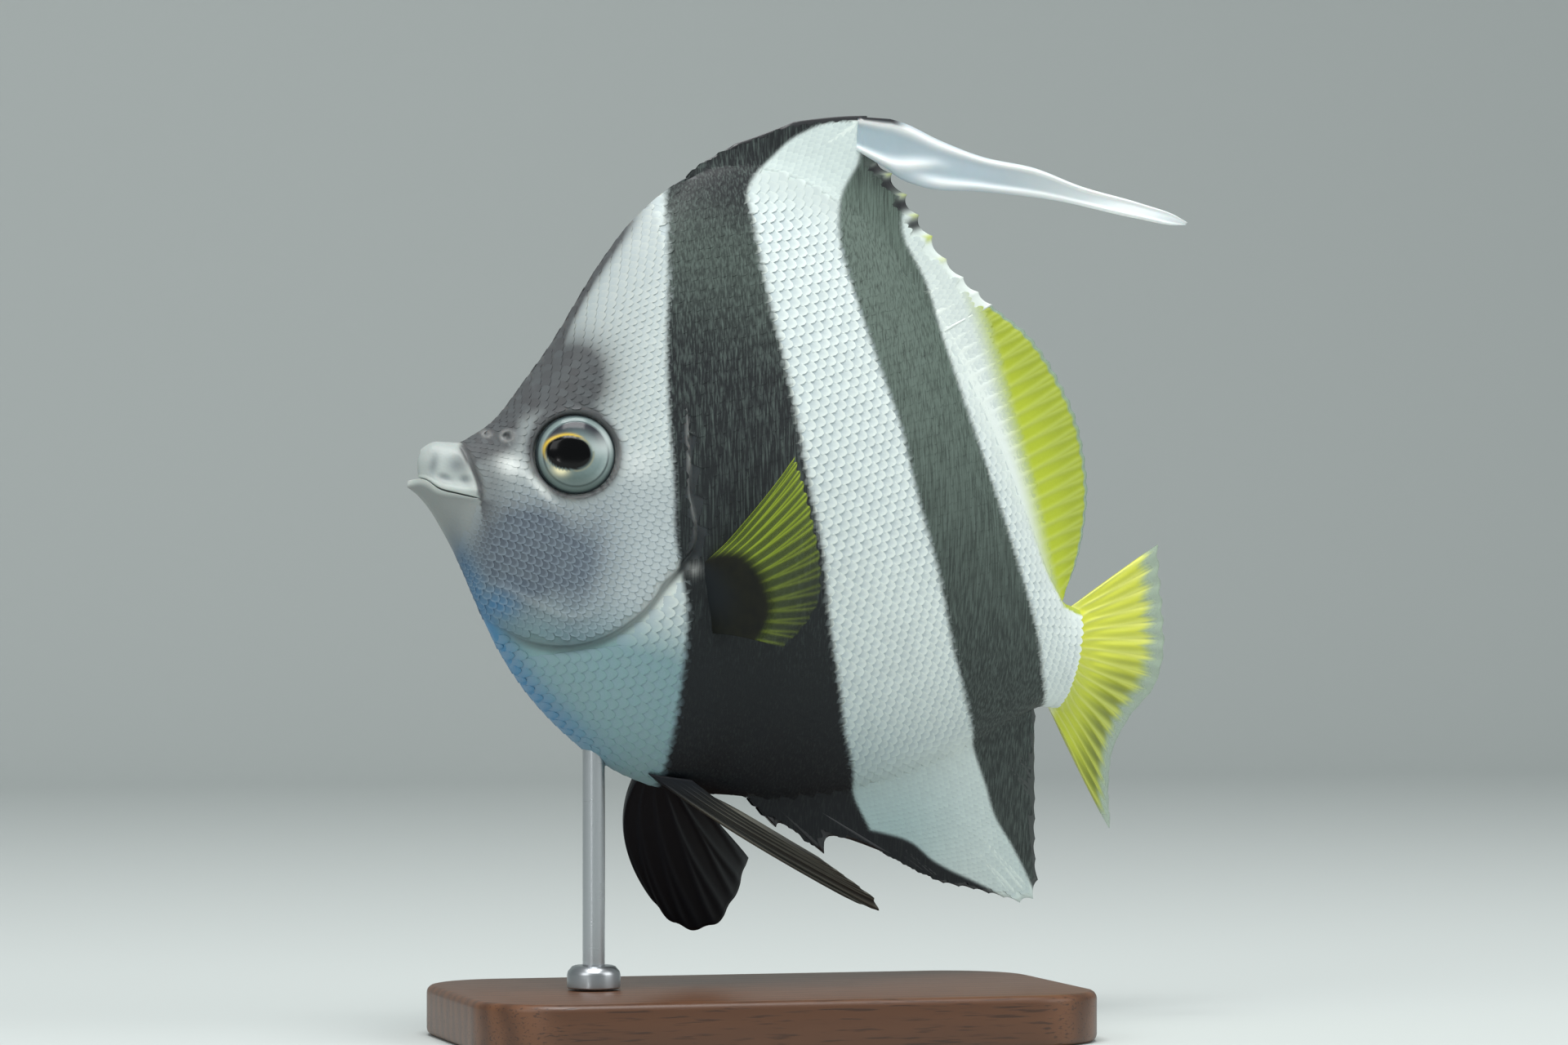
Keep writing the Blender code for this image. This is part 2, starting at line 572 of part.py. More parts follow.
def make_tail_root(collection):
    """The short, deep stalk that carries the tail fin."""
    start = TAIL_ROOT_START + GAP
    top, bottom = along(back, start, TAIL_ROOT_END), along(belly, start, TAIL_ROOT_END)
    front, rear = through([top(0.0), bottom(0.0)]), through([top(1.0), bottom(1.0)])
    columns = np.linspace(0.0, 1.0, TAIL_ROOT_COLUMNS)
    plane = patch(top, bottom, front, rear, columns, rounded(TAIL_ROOT_ROWS))
    width = np.maximum(half_width(plane[..., 0], plane[..., 1]), TAIL_ROOT_EDGE)
    loft("tail_root", *both_sides(plane, width), collection, "silver_skin")


def with_webs(roots, tips, notch=WEB_NOTCH):
    """Sets a web column between each pair of rays, its outer end drawn in a little."""
    mid_roots, mid_tips = 0.5 * (roots[1:] + roots[:-1]), 0.5 * (tips[1:] + tips[:-1])
    mid_tips = mid_tips + notch * (mid_roots - mid_tips)
    all_roots, all_tips = np.empty((2 * len(roots) - 1, 3)), np.empty((2 * len(roots) - 1, 3))
    all_roots[::2], all_roots[1::2] = roots, mid_roots
    all_tips[::2], all_tips[1::2] = tips, mid_tips
    return all_roots, all_tips


def fan(roots, tips, rows):
    """Straight rays from roots to tips, as a grid of points, and each row's share of the way out."""
    share = np.linspace(0.0, 1.0, rows)
    return roots[:, None] + (tips - roots)[:, None] * share[:, None], share


def ray_thickness(columns, share, root, tip=WEB_HALF):
    """Half thickness of a fin: thick at the root, a thin web, and a ridge on each ray."""
    web = tip + (root - tip) * (1 - share) ** 3
    ridge = RAY_RIDGE * np.minimum(1.0, 6 * share) * (1 - 0.5 * share)
    return web + np.where((np.arange(columns) % 2 == 0)[:, None], ridge, 0.0)


def level(points):
    """(s, h) points as (s, h, 0), in the fish's middle plane."""
    points = np.asarray(points, float)
    return np.concatenate([points, np.zeros((len(points), 1))], axis=1)


def median_fin(name, roots, tips, collection, material, notch):
    """A fin in the middle plane, its rays raised on both faces of its web."""
    roots, tips = with_webs(roots, tips, notch)
    grid, share = fan(roots, tips, SOFT_ROWS)
    half = ray_thickness(len(grid), share, FIN_EDGE)[..., None] * (0.0, 0.0, 1.0)
    return loft(name, grid - half, grid + half, collection, material)


def make_spiny_dorsal(collection):
    """Twelve stiff spines with the web drawn in between them. The fourth carries the pennant."""
    base = beside(along(back, 0.0, TAIL_ROOT_END), GAP)
    lookup = np.linspace(0.0, 1.0, 600)
    base_s = base(lookup)[:, 0]
    roots = base(np.interp([s for s, _, _ in DORSAL_SPINES], base_s, lookup))
    tips = np.array([(s, h) for _, s, h in DORSAL_SPINES])
    roots, tips = with_webs(level(roots), level(tips), notch=np.array(DORSAL_NOTCH)[:, None])
    tips[2 * PENNANT_SPINE + 1, :2] = PENNANT_FOOT
    grid, share = fan(roots, tips, SPINE_ROWS)
    half = ray_thickness(len(grid), share, FIN_EDGE)[..., None] * (0.0, 0.0, 1.0)
    loft("dorsal_fin_spines", grid - half, grid + half, collection, "banded_skin")


def base_points(outline, side, start, end, count):
    """Evenly spread root points beside an outline, clear of it by the gap."""
    return level(beside(along(outline, start, end), side * GAP)(np.linspace(0.0, 1.0, count)))


def make_soft_dorsal(collection):
    roots = base_points(back, 1, *SOFT_DORSAL_BASE, SOFT_DORSAL_RAYS)
    tips = level(through(SOFT_DORSAL_EDGE)(np.linspace(0.0, 1.0, SOFT_DORSAL_RAYS)))
    median_fin("dorsal_fin_soft", roots, tips, collection, "yellow_fin", SOFT_WEB_NOTCH)


def make_anal_fin(collection):
    """Three spines with a deeply cut web, then soft rays that end in one sharp corner."""
    spine_s = [s for s, _, _ in ANAL_SPINES]
    spine_roots = np.array([(s, float(belly(s)) - GAP) for s in spine_s])
    soft_roots = base_points(belly, -1, *ANAL_BASE, ANAL_RAYS)
    spine_tips = np.array([(s, h) for _, s, h in ANAL_SPINES])
    soft_tips = through(ANAL_EDGE)(np.linspace(0.0, 1.0, ANAL_RAYS))
    roots = np.concatenate([level(spine_roots), soft_roots])
    tips = level(np.concatenate([spine_tips, soft_tips]))
    notch = np.full((len(roots) - 1, 1), SOFT_WEB_NOTCH)
    notch[:len(ANAL_SPINES) - 1] = ANAL_SPINE_NOTCH
    median_fin("anal_fin", roots, tips, collection, "banded_skin", notch)


def make_tail_fin(collection):
    """The tail fin: rays fan from the tail root, and its lower half curls to the right."""
    start = TAIL_ROOT_END + GAP
    h = np.linspace(float(back(TAIL_ROOT_END)) - TAIL_INSET, float(belly(TAIL_ROOT_END)) + TAIL_INSET,
                    TAIL_RAYS)
    roots = np.column_stack([np.full(TAIL_RAYS, start), h, np.zeros(TAIL_RAYS)])
    tips = through(TAIL_EDGE)(np.linspace(0.0, 1.0, TAIL_RAYS))
    roots, tips = with_webs(roots, tips)
    grid, share = fan(roots, tips, PAIRED_ROWS)
    grid[..., 2] = tips[:, None, 2] * share**2
    root = half_width(np.full(len(roots), TAIL_ROOT_END), roots[:, 1])
    root = np.maximum(root, FIN_ROOT_MIN)[:, None]
    half = ray_thickness(len(grid), share, root)[..., None] * (0.0, 0.0, 1.0)
    loft("tail_fin", grid - half, grid + half, collection, "yellow_fin")


def make_pennant(collection):
    """The long white streamer on the fourth spine, with a thickened upper and lower edge."""
    f = np.linspace(0.0, 1.0, PENNANT_COLUMNS)
    top, bottom = level(through(PENNANT_TOP)(f)), level(through(PENNANT_BOTTOM)(f))
    across = np.linspace(0.0, 1.0, len(PENNANT_HALF))
    grid = top[:, None] + (bottom - top)[:, None] * across[:, None]
    edge = np.array(PENNANT_HALF) * (1 - PENNANT_TAPER * f[:, None])
    half = np.maximum(edge, WEB_HALF)[..., None] * (0.0, 0.0, 1.0)
    loft("pennant", grid - half, grid + half, collection, "white_fin")


def free_fin(name, grid, half, collection, material, side):
    """A paired fin: its grid is given for the right side, and thickened along its own normal."""
    grid = grid * (1.0, 1.0, side)
    normal = np.cross(np.gradient(grid, axis=0), np.gradient(grid, axis=1))
    normal /= np.linalg.norm(normal, axis=-1, keepdims=True)
    return loft(name, grid - half[..., None] * normal, grid + half[..., None] * normal, collection, material)


def fit_to_trunk(fin, collection):
    """Cuts a fin's sunk root back to the skin, leaving the gap."""
    boolean(fin, [trunk_body("trunk_cutter", collection, swell=GAP)], "DIFFERENCE")


def make_pectoral_fin(name, side, collection):
    """A pectoral fin held out from the flank: a fleshy root, then a fan of rays."""
    along_root = np.linspace(0.0, 1.0, PECTORAL_RAYS)
    root_line = through(PECTORAL_ROOT)(along_root)
    depth = half_width(root_line[:, 0], root_line[:, 1]) - SUNK
    roots = np.column_stack([root_line, depth])
    tips = through(PECTORAL_EDGE)(along_root)
    roots, tips = with_webs(roots, tips)
    grid, share = fan(roots, tips, PAIRED_ROWS)
    grid[..., 2] = roots[:, 2:] + (tips - roots)[:, 2:] * (1 - (1 - share) ** PECTORAL_FLARE)
    half = ray_thickness(len(grid), share, PECTORAL_ROOT_HALF)
    fin = free_fin(name, grid, half, collection, "yellow_fin", side)
    fit_to_trunk(fin, collection)


def make_pelvic_fin(name, side, edge, bow, collection):
    """A pelvic fin: a stout front ray and five soft ones, bowed along their length."""
    ray = np.linspace(0.0, 1.0, PELVIC_RAYS)
    roots = np.array(PELVIC_ROOT[0]) + ray[:, None] * (np.array(PELVIC_ROOT[1]) - PELVIC_ROOT[0])
    tips = through(edge)(ray)
    roots, tips = with_webs(roots, tips, PELVIC_WEB_NOTCH)
    grid, share = fan(roots, tips, PAIRED_ROWS)
    bowed = 4 * share * (1 - share)
    fade = 1 - np.linspace(0.0, 1.0, len(grid))
    grid = grid + fade[:, None, None] * bowed[:, None] * np.array(bow)
    half = ray_thickness(len(grid), share, PELVIC_ROOT_HALF)
    fin = free_fin(name, grid, half, collection, "black_fin", side)
    fit_to_trunk(fin, collection)


def make_stand(collection):
    """A flat wooden base, a steel rod up to the breast, and the collar at the rod's foot."""
    length, width, height = [value * MM for value in BASE_SIZE]
    bpy.ops.mesh.primitive_cube_add(size=1.0, location=(0.0, 0.0, height / 2))
    base = bpy.context.object
    base.data.transform(Matrix.Diagonal((length, width, height, 1.0)))
    work = bmesh.new()
    work.from_mesh(base.data)
    upright = [e for e in work.edges if abs(e.verts[0].co.z - e.verts[1].co.z) > height / 2]
    bmesh.ops.bevel(work, geom=upright, offset=BASE_CORNER * MM, segments=CORNER_STEPS,
                    profile=0.5, affect="EDGES")
    work.to_mesh(base.data)
    work.free()
    soften = base.modifiers.new("soften", "BEVEL")
    soften.width = BASE_BEVEL * MM
    soften.segments = 2
    soften.limit_method = "ANGLE"
    base.name = "stand_base"
    gather(base, collection, "walnut")

    foot = Vector(posed([ROD_S, float(belly(ROD_S)), 0.0]))
    bottom = height + GAP * MM
    top = foot.z + 2 * SUNK * MM
    bpy.ops.mesh.primitive_cylinder_add(vertices=ROD_SIDES, radius=ROD_RADIUS * MM, depth=top - bottom,
                                        location=(foot.x, foot.y, (top + bottom) / 2))
    rod = bpy.context.object
    rod.name = "stand_rod"
    rod.data.transform(Matrix.Translation(rod.location))
    rod.location = (0.0, 0.0, 0.0)
    gather(rod, collection, "steel")
    fit_to_trunk(rod, collection)

    inner, low = ROD_RADIUS + GAP, BASE_SIZE[2] + GAP
    flat_in, turn_in, turn_down, side_down = COLLAR_SHOULDER
    profile = [(inner, COLLAR_HEIGHT), (COLLAR_RADIUS - flat_in, COLLAR_HEIGHT),
               (COLLAR_RADIUS - turn_in, COLLAR_HEIGHT - turn_down),
               (COLLAR_RADIUS, COLLAR_HEIGHT - side_down), (COLLAR_RADIUS, 0.0), (inner, 0.0),
               (inner, COLLAR_HEIGHT)]
    mesh = bpy.data.meshes.new("stand_collar")
    edges = [(i, i + 1) for i in range(len(profile) - 1)]
    mesh.from_pydata([(r * MM, 0.0, z * MM) for r, z in profile], edges, [])
    collar = bpy.data.objects.new("stand_collar", mesh)
    collar.location = (foot.x, foot.y, low * MM)
    turned = collar.modifiers.new("turned", "SCREW")
    turned.steps = turned.render_steps = COLLAR_SIDES
    turned.use_merge_vertices = True
    turned.merge_threshold = 5 * MERGE
    gather(collar, collection, "steel")


def gather(obj, collection, material):
    """Moves an object into the part's collection and gives it its finish."""
    for home in list(obj.users_collection):
        home.objects.unlink(obj)
    collection.objects.link(obj)
    finish(obj, material)


def make_coralfish():
    """Builds every node of the part."""
    for obj in list(bpy.data.objects):
        bpy.data.objects.remove(obj)
    collection = bpy.data.collections.new("pennant_coralfish")
    bpy.context.scene.collection.children.link(collection)
    make_head(collection)
    make_jaws(collection)
    for name, side in (("left", -1), ("right", 1)):
        make_gill_cover(f"gill_cover_{name}", side, collection)
        eye = ball(f"eye_{name}", flank_frame(*EYE, side, EYE_SUNK),
                   (EYE_RADIUS, EYE_RADIUS, EYE_DEPTH), collection)
        finish(eye, "silver_eye")
        make_pectoral_fin(f"pectoral_fin_{name}", side, collection)
    trunk_body("trunk", collection)
    make_tail_root(collection)
    make_spiny_dorsal(collection)
    make_pennant(collection)
    make_soft_dorsal(collection)
    make_anal_fin(collection)
    make_tail_fin(collection)
    make_pelvic_fin("pelvic_fin_left", -1, FOLDED_PELVIC_EDGE, FOLDED_PELVIC_BOW, collection)
    make_pelvic_fin("pelvic_fin_right", 1, SPREAD_PELVIC_EDGE, SPREAD_PELVIC_BOW, collection)
    make_stand(collection)


make_coralfish()
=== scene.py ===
import math

import bmesh
import bpy
import numpy as np
from mathutils import Matrix, Vector


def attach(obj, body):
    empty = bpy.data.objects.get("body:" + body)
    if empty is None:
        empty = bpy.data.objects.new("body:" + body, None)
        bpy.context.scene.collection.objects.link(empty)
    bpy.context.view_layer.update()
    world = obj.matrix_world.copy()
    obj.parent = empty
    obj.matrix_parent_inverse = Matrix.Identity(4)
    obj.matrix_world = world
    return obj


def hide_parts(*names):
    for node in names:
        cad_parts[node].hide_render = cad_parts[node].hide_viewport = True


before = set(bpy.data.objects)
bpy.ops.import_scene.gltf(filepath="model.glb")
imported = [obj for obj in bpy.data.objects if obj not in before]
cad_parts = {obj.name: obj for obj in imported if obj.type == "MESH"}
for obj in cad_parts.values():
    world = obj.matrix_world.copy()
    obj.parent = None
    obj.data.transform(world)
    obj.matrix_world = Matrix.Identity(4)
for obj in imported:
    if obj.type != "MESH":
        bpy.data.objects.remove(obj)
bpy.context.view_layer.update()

# Camera
# A long lens 0.9 m away, level with the middle of the fish and turned 15 degrees towards its head.
# The small shift puts the fish where it stands in the photograph's frame.
MM = 0.001
IMAGE_WIDTH = 1920
VIEW_TURN = math.radians(15.0)
VIEW_DISTANCE = 0.9
VIEW_HEIGHT = 0.073
LENS = 130.8
SENSOR = 36.0
FRAME_SHIFT = (30.0, 65.0)

lens = bpy.data.cameras.new("long_lens")
lens.lens = LENS
lens.sensor_width = SENSOR
lens.shift_x, lens.shift_y = (pixels / IMAGE_WIDTH for pixels in FRAME_SHIFT)
lens.clip_start, lens.clip_end = 0.05, 20.0
camera = bpy.data.objects.new("camera", lens)
camera.location = (-VIEW_DISTANCE * math.sin(VIEW_TURN), -VIEW_DISTANCE * math.cos(VIEW_TURN), VIEW_HEIGHT)
camera.rotation_euler = (math.radians(90.0), 0.0, -VIEW_TURN)
bpy.context.scene.collection.objects.link(camera)
bpy.context.scene.camera = camera

# Skin
# One unbroken hide over head, jaws, gill covers, trunk and tail root, as cast over a mount: thin, satin
# and silver-white with two charcoal bands. It lies a scale's depth inside the body's full form.
# The fish is drawn straight in millimetres (s tailwards, h up, y to its right), and posed() bends it.
BEND_START = 36.5
BEND_END = 114.5
BEND_ANGLE = math.radians(25.0)
PITCH = math.radians(13.5)
PIVOT_S = 58.5
PIVOT_HEIGHT = 73.0
BACK = [(0.4, 5.8), (2.0, 7.6), (4.8, 8.5), (6.8, 9.0), (8.6, 10.7), (11.4, 14.0), (14.4, 20.6),
        (17.7, 28.8), (21.0, 39.2), (24.0, 46.8), (27.6, 52.9), (31.2, 57.1), (36.6, 60.7),
        (43.0, 62.5), (50.0, 62.5), (58.0, 60.3), (66.0, 56.2), (74.0, 50.6), (82.0, 43.6),
        (90.0, 35.8), (98.0, 27.3), (106.0, 18.3), (112.0, 11.8), (116.0, 9.0), (120.0, 8.4)]
BELLY = [(0.0, 0.2), (2.0, -0.7), (4.4, -2.4), (7.1, -5.1), (10.4, -8.8), (14.7, -14.4),
         (18.8, -19.6), (25.4, -26.0), (33.5, -31.4), (42.8, -35.2), (49.0, -36.2), (56.0, -35.8),
         (62.0, -34.8), (70.0, -33.4), (78.0, -31.0), (86.0, -27.6), (94.0, -23.3), (102.0, -18.4),
         (109.0, -13.2), (114.0, -9.8), (117.0, -8.6), (120.0, -8.2)]
WIDEST = [(0.0, 3.0), (6.8, 3.2), (15.0, 6.0), (23.0, 9.5), (31.0, 8.0), (45.0, 3.0), (60.0, 5.0),
          (80.0, 5.0), (100.0, 2.0), (120.0, 0.0)]
HALF_WIDTH = [(0.0, 1.9), (1.2, 2.5), (3.0, 3.1), (6.0, 3.8), (10.0, 4.8), (15.0, 6.5), (20.0, 7.9),
              (25.0, 8.9), (30.0, 9.7), (36.0, 10.3), (45.0, 10.8), (55.0, 10.6), (65.0, 9.8),
              (75.0, 8.6), (85.0, 7.2), (95.0, 5.8), (105.0, 4.5), (112.0, 3.7), (120.0, 3.0)]
BACK_LENS = [(0.0, 0.5), (12.0, 0.5), (22.0, 0.62), (34.0, 0.85), (60.0, 0.95), (105.0, 0.8), (120.0, 0.5)]
BELLY_LENS = [(0.0, 0.5), (40.0, 0.5), (54.0, 0.58), (68.0, 0.85), (105.0, 0.8), (120.0, 0.5)]
BACK_EDGE = [(0.0, 0.0), (29.0, 0.0), (33.0, 1.0), (114.0, 1.0), (117.0, 0.0), (120.0, 0.0)]
BELLY_EDGE = [(0.0, 0.0), (59.0, 0.0), (63.0, 1.0), (113.0, 1.0), (117.0, 0.0), (120.0, 0.0)]
JAW_REAR = [(6.8, 8.9), (9.0, 5.4), (10.9, 1.8), (10.3, -2.6), (9.4, -6.6)]
GILL_EDGE = [(27.5, 50.6), (33.0, 38.0), (37.6, 25.0), (40.2, 15.4), (41.7, 9.4), (43.6, 4.4),
             (44.0, 1.4), (43.0, -1.4), (41.2, -5.2), (38.8, -10.5), (35.0, -15.0), (30.2, -17.9),
             (23.2, -18.8), (16.4, -15.0)]
MOUTH_LINE = [(0.0, 1.2), (1.6, 2.0), (4.6, 1.3), (7.7, 1.5), (10.9, 1.8)]
MOUTH_SPLIT = 0.52
MOUTH_GAP = 0.22
TAIL_END = 119.4
COAT_DEPTH = 0.15
FIN_EDGE = 1.0

EYE = (23.2, 10.9)
EYE_RADIUS = 6.3
NOSTRILS = [(12.8, 11.3, 0.85), (9.9, 11.0, 0.45)]
PREOPERCLE = [(32.6, 0.7), (33.1, -5.4), (33.3, -7.6), (32.0, -12.0), (29.5, -13.6), (22.7, -13.0),
              (15.0, -10.8)]
LIP_FOLD = [(6.2, 8.6), (7.4, 6.9), (8.7, 5.0), (9.9, 3.2), (10.6, 1.4)]
LIP_CELLS = [(2.9, 4.3, 0.8, 2.3), (6.2, 5.0, 1.5, 1.6), (4.9, 2.8, 1.3, 0.7), (7.9, 3.2, 0.9, 0.8)]
EYE_RIM, SOCKET_DEPTH = 0.24, 1.5
NOSTRIL_RIM, NOSTRIL_DEPTH = 0.22, 0.55
LIP_SWELL, LIP_CELL_DEPTH = 0.55, 0.16
FOLD_SWELL, FOLD_DEPTH = 0.3, 0.55
CHEEK_PLATE = 0.15
GILL_RIM, GILL_SLOT = 0.42, 0.5


def smooth(points):
    """A smooth line through (x, y) points, as a function of x: cubic pieces that share their slopes."""
    x, y = np.array(points, float).T
    slope = np.gradient(y, x)

    def value(at):
        at = np.clip(at, x[0], x[-1])
        i = np.clip(np.searchsorted(x, at) - 1, 0, len(x) - 2)
        gap = x[i + 1] - x[i]
        f = (at - x[i]) / gap
        near = (2 * f**3 - 3 * f**2 + 1) * y[i] + (f**3 - 2 * f**2 + f) * gap * slope[i]
        return near + (3 * f**2 - 2 * f**3) * y[i + 1] + (f**3 - f**2) * gap * slope[i + 1]

    return value


def straight(points, x):
    """Straight lines through (x, y) points, read at x."""
    return np.interp(x, *zip(*points))


def through(points):
    """A smooth curve through points, as a function of the share of its length from 0 to 1."""
    points = np.array(points, float)
    run = np.concatenate([[0.0], np.cumsum(np.linalg.norm(np.diff(points, axis=0), axis=1))])
    parts = [smooth(np.column_stack([run / run[-1], column])) for column in points.T]
    return lambda f: np.stack([part(np.asarray(f, float)) for part in parts], axis=-1)


def along(outline, start, end):
    """The stretch of an outline h(s) between two values of s, as a function of the share of its length."""
    s = np.linspace(start, end, 200)
    points = np.column_stack([s, outline(s)])
    run = np.concatenate([[0.0], np.cumsum(np.linalg.norm(np.diff(points, axis=0), axis=1))])
    return lambda f: np.stack([np.interp(f, run / run[-1], column) for column in points.T], axis=-1)


back = smooth(BACK)
belly = smooth(BELLY)
widest = smooth(WIDEST)
full_width = smooth(HALF_WIDTH)
mouth = smooth(MOUTH_LINE)


def across_body(points):
    """A smooth curve down the flank whose two ends lie on the back and the belly."""
    first, last = points[0][0], points[-1][0]
    return through([(first, float(back(first))), *points[1:-1], (last, float(belly(last)))])


def step(low, high, x):
    """A soft step from 0 at low to 1 at high: 3t^2 - 2t^3, with t the share of the way."""
    t = np.clip((x - low) / (high - low), 0.0, 1.0)
    return t * t * (3 - 2 * t)


def hump(x, width):
    """A bell of height 1 about x = 0: e to the power -(x / width)^2."""
    return np.exp(-(x / width) ** 2)


def window(start, full, fade, end, x):
    """1 from full to fade, with a soft step up from start before it and a soft step down to end after it."""
    return step(start, full, x) * (1 - step(fade, end, x))


def nearest(curve, s, h):
    """Distance of (s, h) from a curve, above 0 on its tailward side, and the curve's share there."""
    f = np.linspace(0.0, 1.0, 180)
    line = curve(f)
    run = np.gradient(line, axis=0)
    flat_s, flat_h = np.ravel(s)[:, None], np.ravel(h)[:, None]
    square = (flat_s - line[:, 0]) ** 2 + (flat_h - line[:, 1]) ** 2
    pick = np.argmin(square, axis=1)
    ds, dh = flat_s[:, 0] - line[pick, 0], flat_h[:, 0] - line[pick, 1]
    side = np.sign(run[pick, 0] * dh - run[pick, 1] * ds)
    distance = side * np.sqrt(square[np.arange(len(pick)), pick])
    return distance.reshape(np.shape(s)), f[pick].reshape(np.shape(s))


gill_edge = across_body(GILL_EDGE)
jaw_rear = across_body(JAW_REAR)
preopercle = through(PREOPERCLE)
lip_fold = through(LIP_FOLD)


def half_width(s, h):
    """Half the body's thickness: edge + (full - edge) (1 - v^2)^lens, with v from the widest line out."""
    middle = widest(s)
    above = h > middle
    v = np.clip((h - middle) / (np.where(above, back(s), belly(s)) - middle), 0.0, 1.0)
    lens_power = np.where(above, straight(BACK_LENS, s), straight(BELLY_LENS, s))
    edge = np.where(above, straight(BACK_EDGE, s), straight(BELLY_EDGE, s)) * FIN_EDGE
    return edge + (full_width(s) - edge) * (1 - v**2) ** lens_power


def lip_cells(s, h):
    """The grey hollows of the upper lip, each an oval bell, as the largest of them at (s, h)."""
    ovals = [np.hypot((s - at_s) / long, (h - at_h) / high) for at_s, at_h, long, high in LIP_CELLS]
    return hump(np.min(ovals, axis=0), 0.9)


def relief(s, h):
    """Millimetres by which the head's forms stand out of the flank: a sum of bells and soft steps.

    They are the eye's raised rim and sunk socket, nostril rims and pits, lips, the fold behind the
    upper lip, the fold of the cheek plate, and the gill cover's rim with the slot behind it.
    """
    round_eye = np.hypot(s - EYE[0], h - EYE[1])
    out = EYE_RIM * hump(round_eye - 6.9, 0.4) - SOCKET_DEPTH * (1 - step(5.75, 6.55, round_eye))
    for centre_s, centre_h, radius in NOSTRILS:
        off = np.hypot(s - centre_s, h - centre_h)
        out += NOSTRIL_RIM * hump(off - radius, 0.24)
        out -= NOSTRIL_DEPTH * (1 - step(0.3 * radius, 0.85 * radius, off))
    front = s < 14.0
    off_mouth = h - mouth(s)
    out += np.where(front, LIP_SWELL * hump(off_mouth, 1.0) * (1 - step(9.8, 11.4, s)), 0.0)
    fold, share = nearest(lip_fold, s, h)
    crest = FOLD_SWELL * hump(fold + 0.8, 0.8) - FOLD_DEPTH * hump(fold - 0.15, 0.36)
    out += np.where(front, window(0.0, 0.2, 0.85, 1.0, share) * crest, 0.0)
    lip = step(0.3, 1.2, off_mouth) * (1 - step(-1.2, -0.3, fold)) * (s < 9.0) * step(0.4, 1.6, s)
    out -= LIP_CELL_DEPTH * lip * lip_cells(s, h)
    fold, share = nearest(preopercle, s, h)
    out += window(0.0, 0.15, 0.85, 1.0, share) * CHEEK_PLATE * hump(fold, np.where(fold < 0, 2.6, 0.6))
    slot, share = nearest(gill_edge, s, h)
    crest = np.where(slot <= 0.01, GILL_RIM * hump(slot, 5.0), -GILL_SLOT * hump(slot, 1.2))
    return out + window(0.3, 0.45, 0.86, 0.95, share) * crest


def skin_half(s, h):
    """Half the thickness at the skin: the full form less the coat's depth, with the relief on top."""
    return np.maximum(half_width(s, h) - COAT_DEPTH, 0.0) + relief(s, h)


def posed(points):
    """Fish millimetres (s, h, y) to metres: bent sideways along an arc, tilted nose up, then lifted."""
    s, h, y = np.moveaxis(np.asarray(points, float), -1, 0)
    length = BEND_END - BEND_START
    turn = BEND_ANGLE * np.clip((s - BEND_START) / length, 0.0, 1.0)
    radius = length / BEND_ANGLE
    past = np.maximum(s - BEND_END, 0.0)
    x = np.minimum(s, BEND_START) + radius * np.sin(turn) + past * np.cos(turn) - y * np.sin(turn)
    side = radius * (1 - np.cos(turn)) + past * np.sin(turn) + y * np.cos(turn)
    x = x - PIVOT_S
    world_x = x * math.cos(PITCH) + h * math.sin(PITCH)
    world_z = h * math.cos(PITCH) - x * math.sin(PITCH) + PIVOT_HEIGHT
    return np.stack([world_x, side, world_z], axis=-1) * MM


BAND_EDGES = {
    "first_front": [(-36.5, 49.9), (-21.5, 47.8), (-7.7, 45.0), (1.8, 41.0), (9.1, 39.1), (21.3, 35.6),
                    (30.0, 33.5), (42.6, 31.4), (54.9, 29.3), (60.0, 28.5)],
    "first_rear": [(-36.0, 89.4), (-33.8, 87.2), (-31.1, 84.4), (-26.0, 81.0), (-21.4, 77.4), (-15.4, 74.0),
                   (-10.5, 71.3), (-4.7, 68.4), (5.0, 64.6), (16.8, 59.0), (26.4, 55.0), (34.7, 51.3),
                   (44.1, 47.0), (53.7, 43.4), (57.9, 41.8),
                   (64.7, 44.9), (69.8, 49.0), (73.0, 54.0), (75.6, 63.0)],
    "second_front": [(-42.0, 129.0), (-37.9, 124.5), (-34.6, 120.8), (-31.4, 117.0), (-28.4, 113.0),
                     (-23.3, 108.9), (-16.0, 102.6), (-10.0, 97.2), (-4.4, 92.8), (7.4, 85.7),
                     (17.8, 79.1), (28.4, 73.4), (37.6, 67.4), (45.6, 62.6),
                     (55.1, 58.1), (62.3, 57.8), (67.4, 59.3)],
    "second_rear": [(-18.0, 132.0), (-11.0, 120.0), (-8.1, 116.6), (-4.6, 113.6), (0.7, 110.5),
                    (13.6, 101.6), (22.9, 94.8), (32.1, 88.2), (42.5, 81.4), (52.9, 74.9), (58.3, 69.8),
                    (66.0, 68.5)],
    "yellow_front": [(8.7, 113.7), (14.1, 110.2), (24.9, 103.7), (34.2, 97.2), (44.7, 90.1), (53.8, 83.6)],
}
ANAL_BLACK = [(78.0, -31.0), (83.5, -34.0), (87.0, -34.9), (90.6, -34.9), (97.1, -35.4), (101.5, -37.2),
              (105.4, -38.1), (110.6, -38.9), (115.9, -39.8), (121.8, -41.5)]
edges = {name: smooth(points) for name, points in BAND_EDGES.items()}
anal_black = smooth(ANAL_BLACK)
BAND_SOFTNESS = [("first", 0.45), ("second", 0.5)]
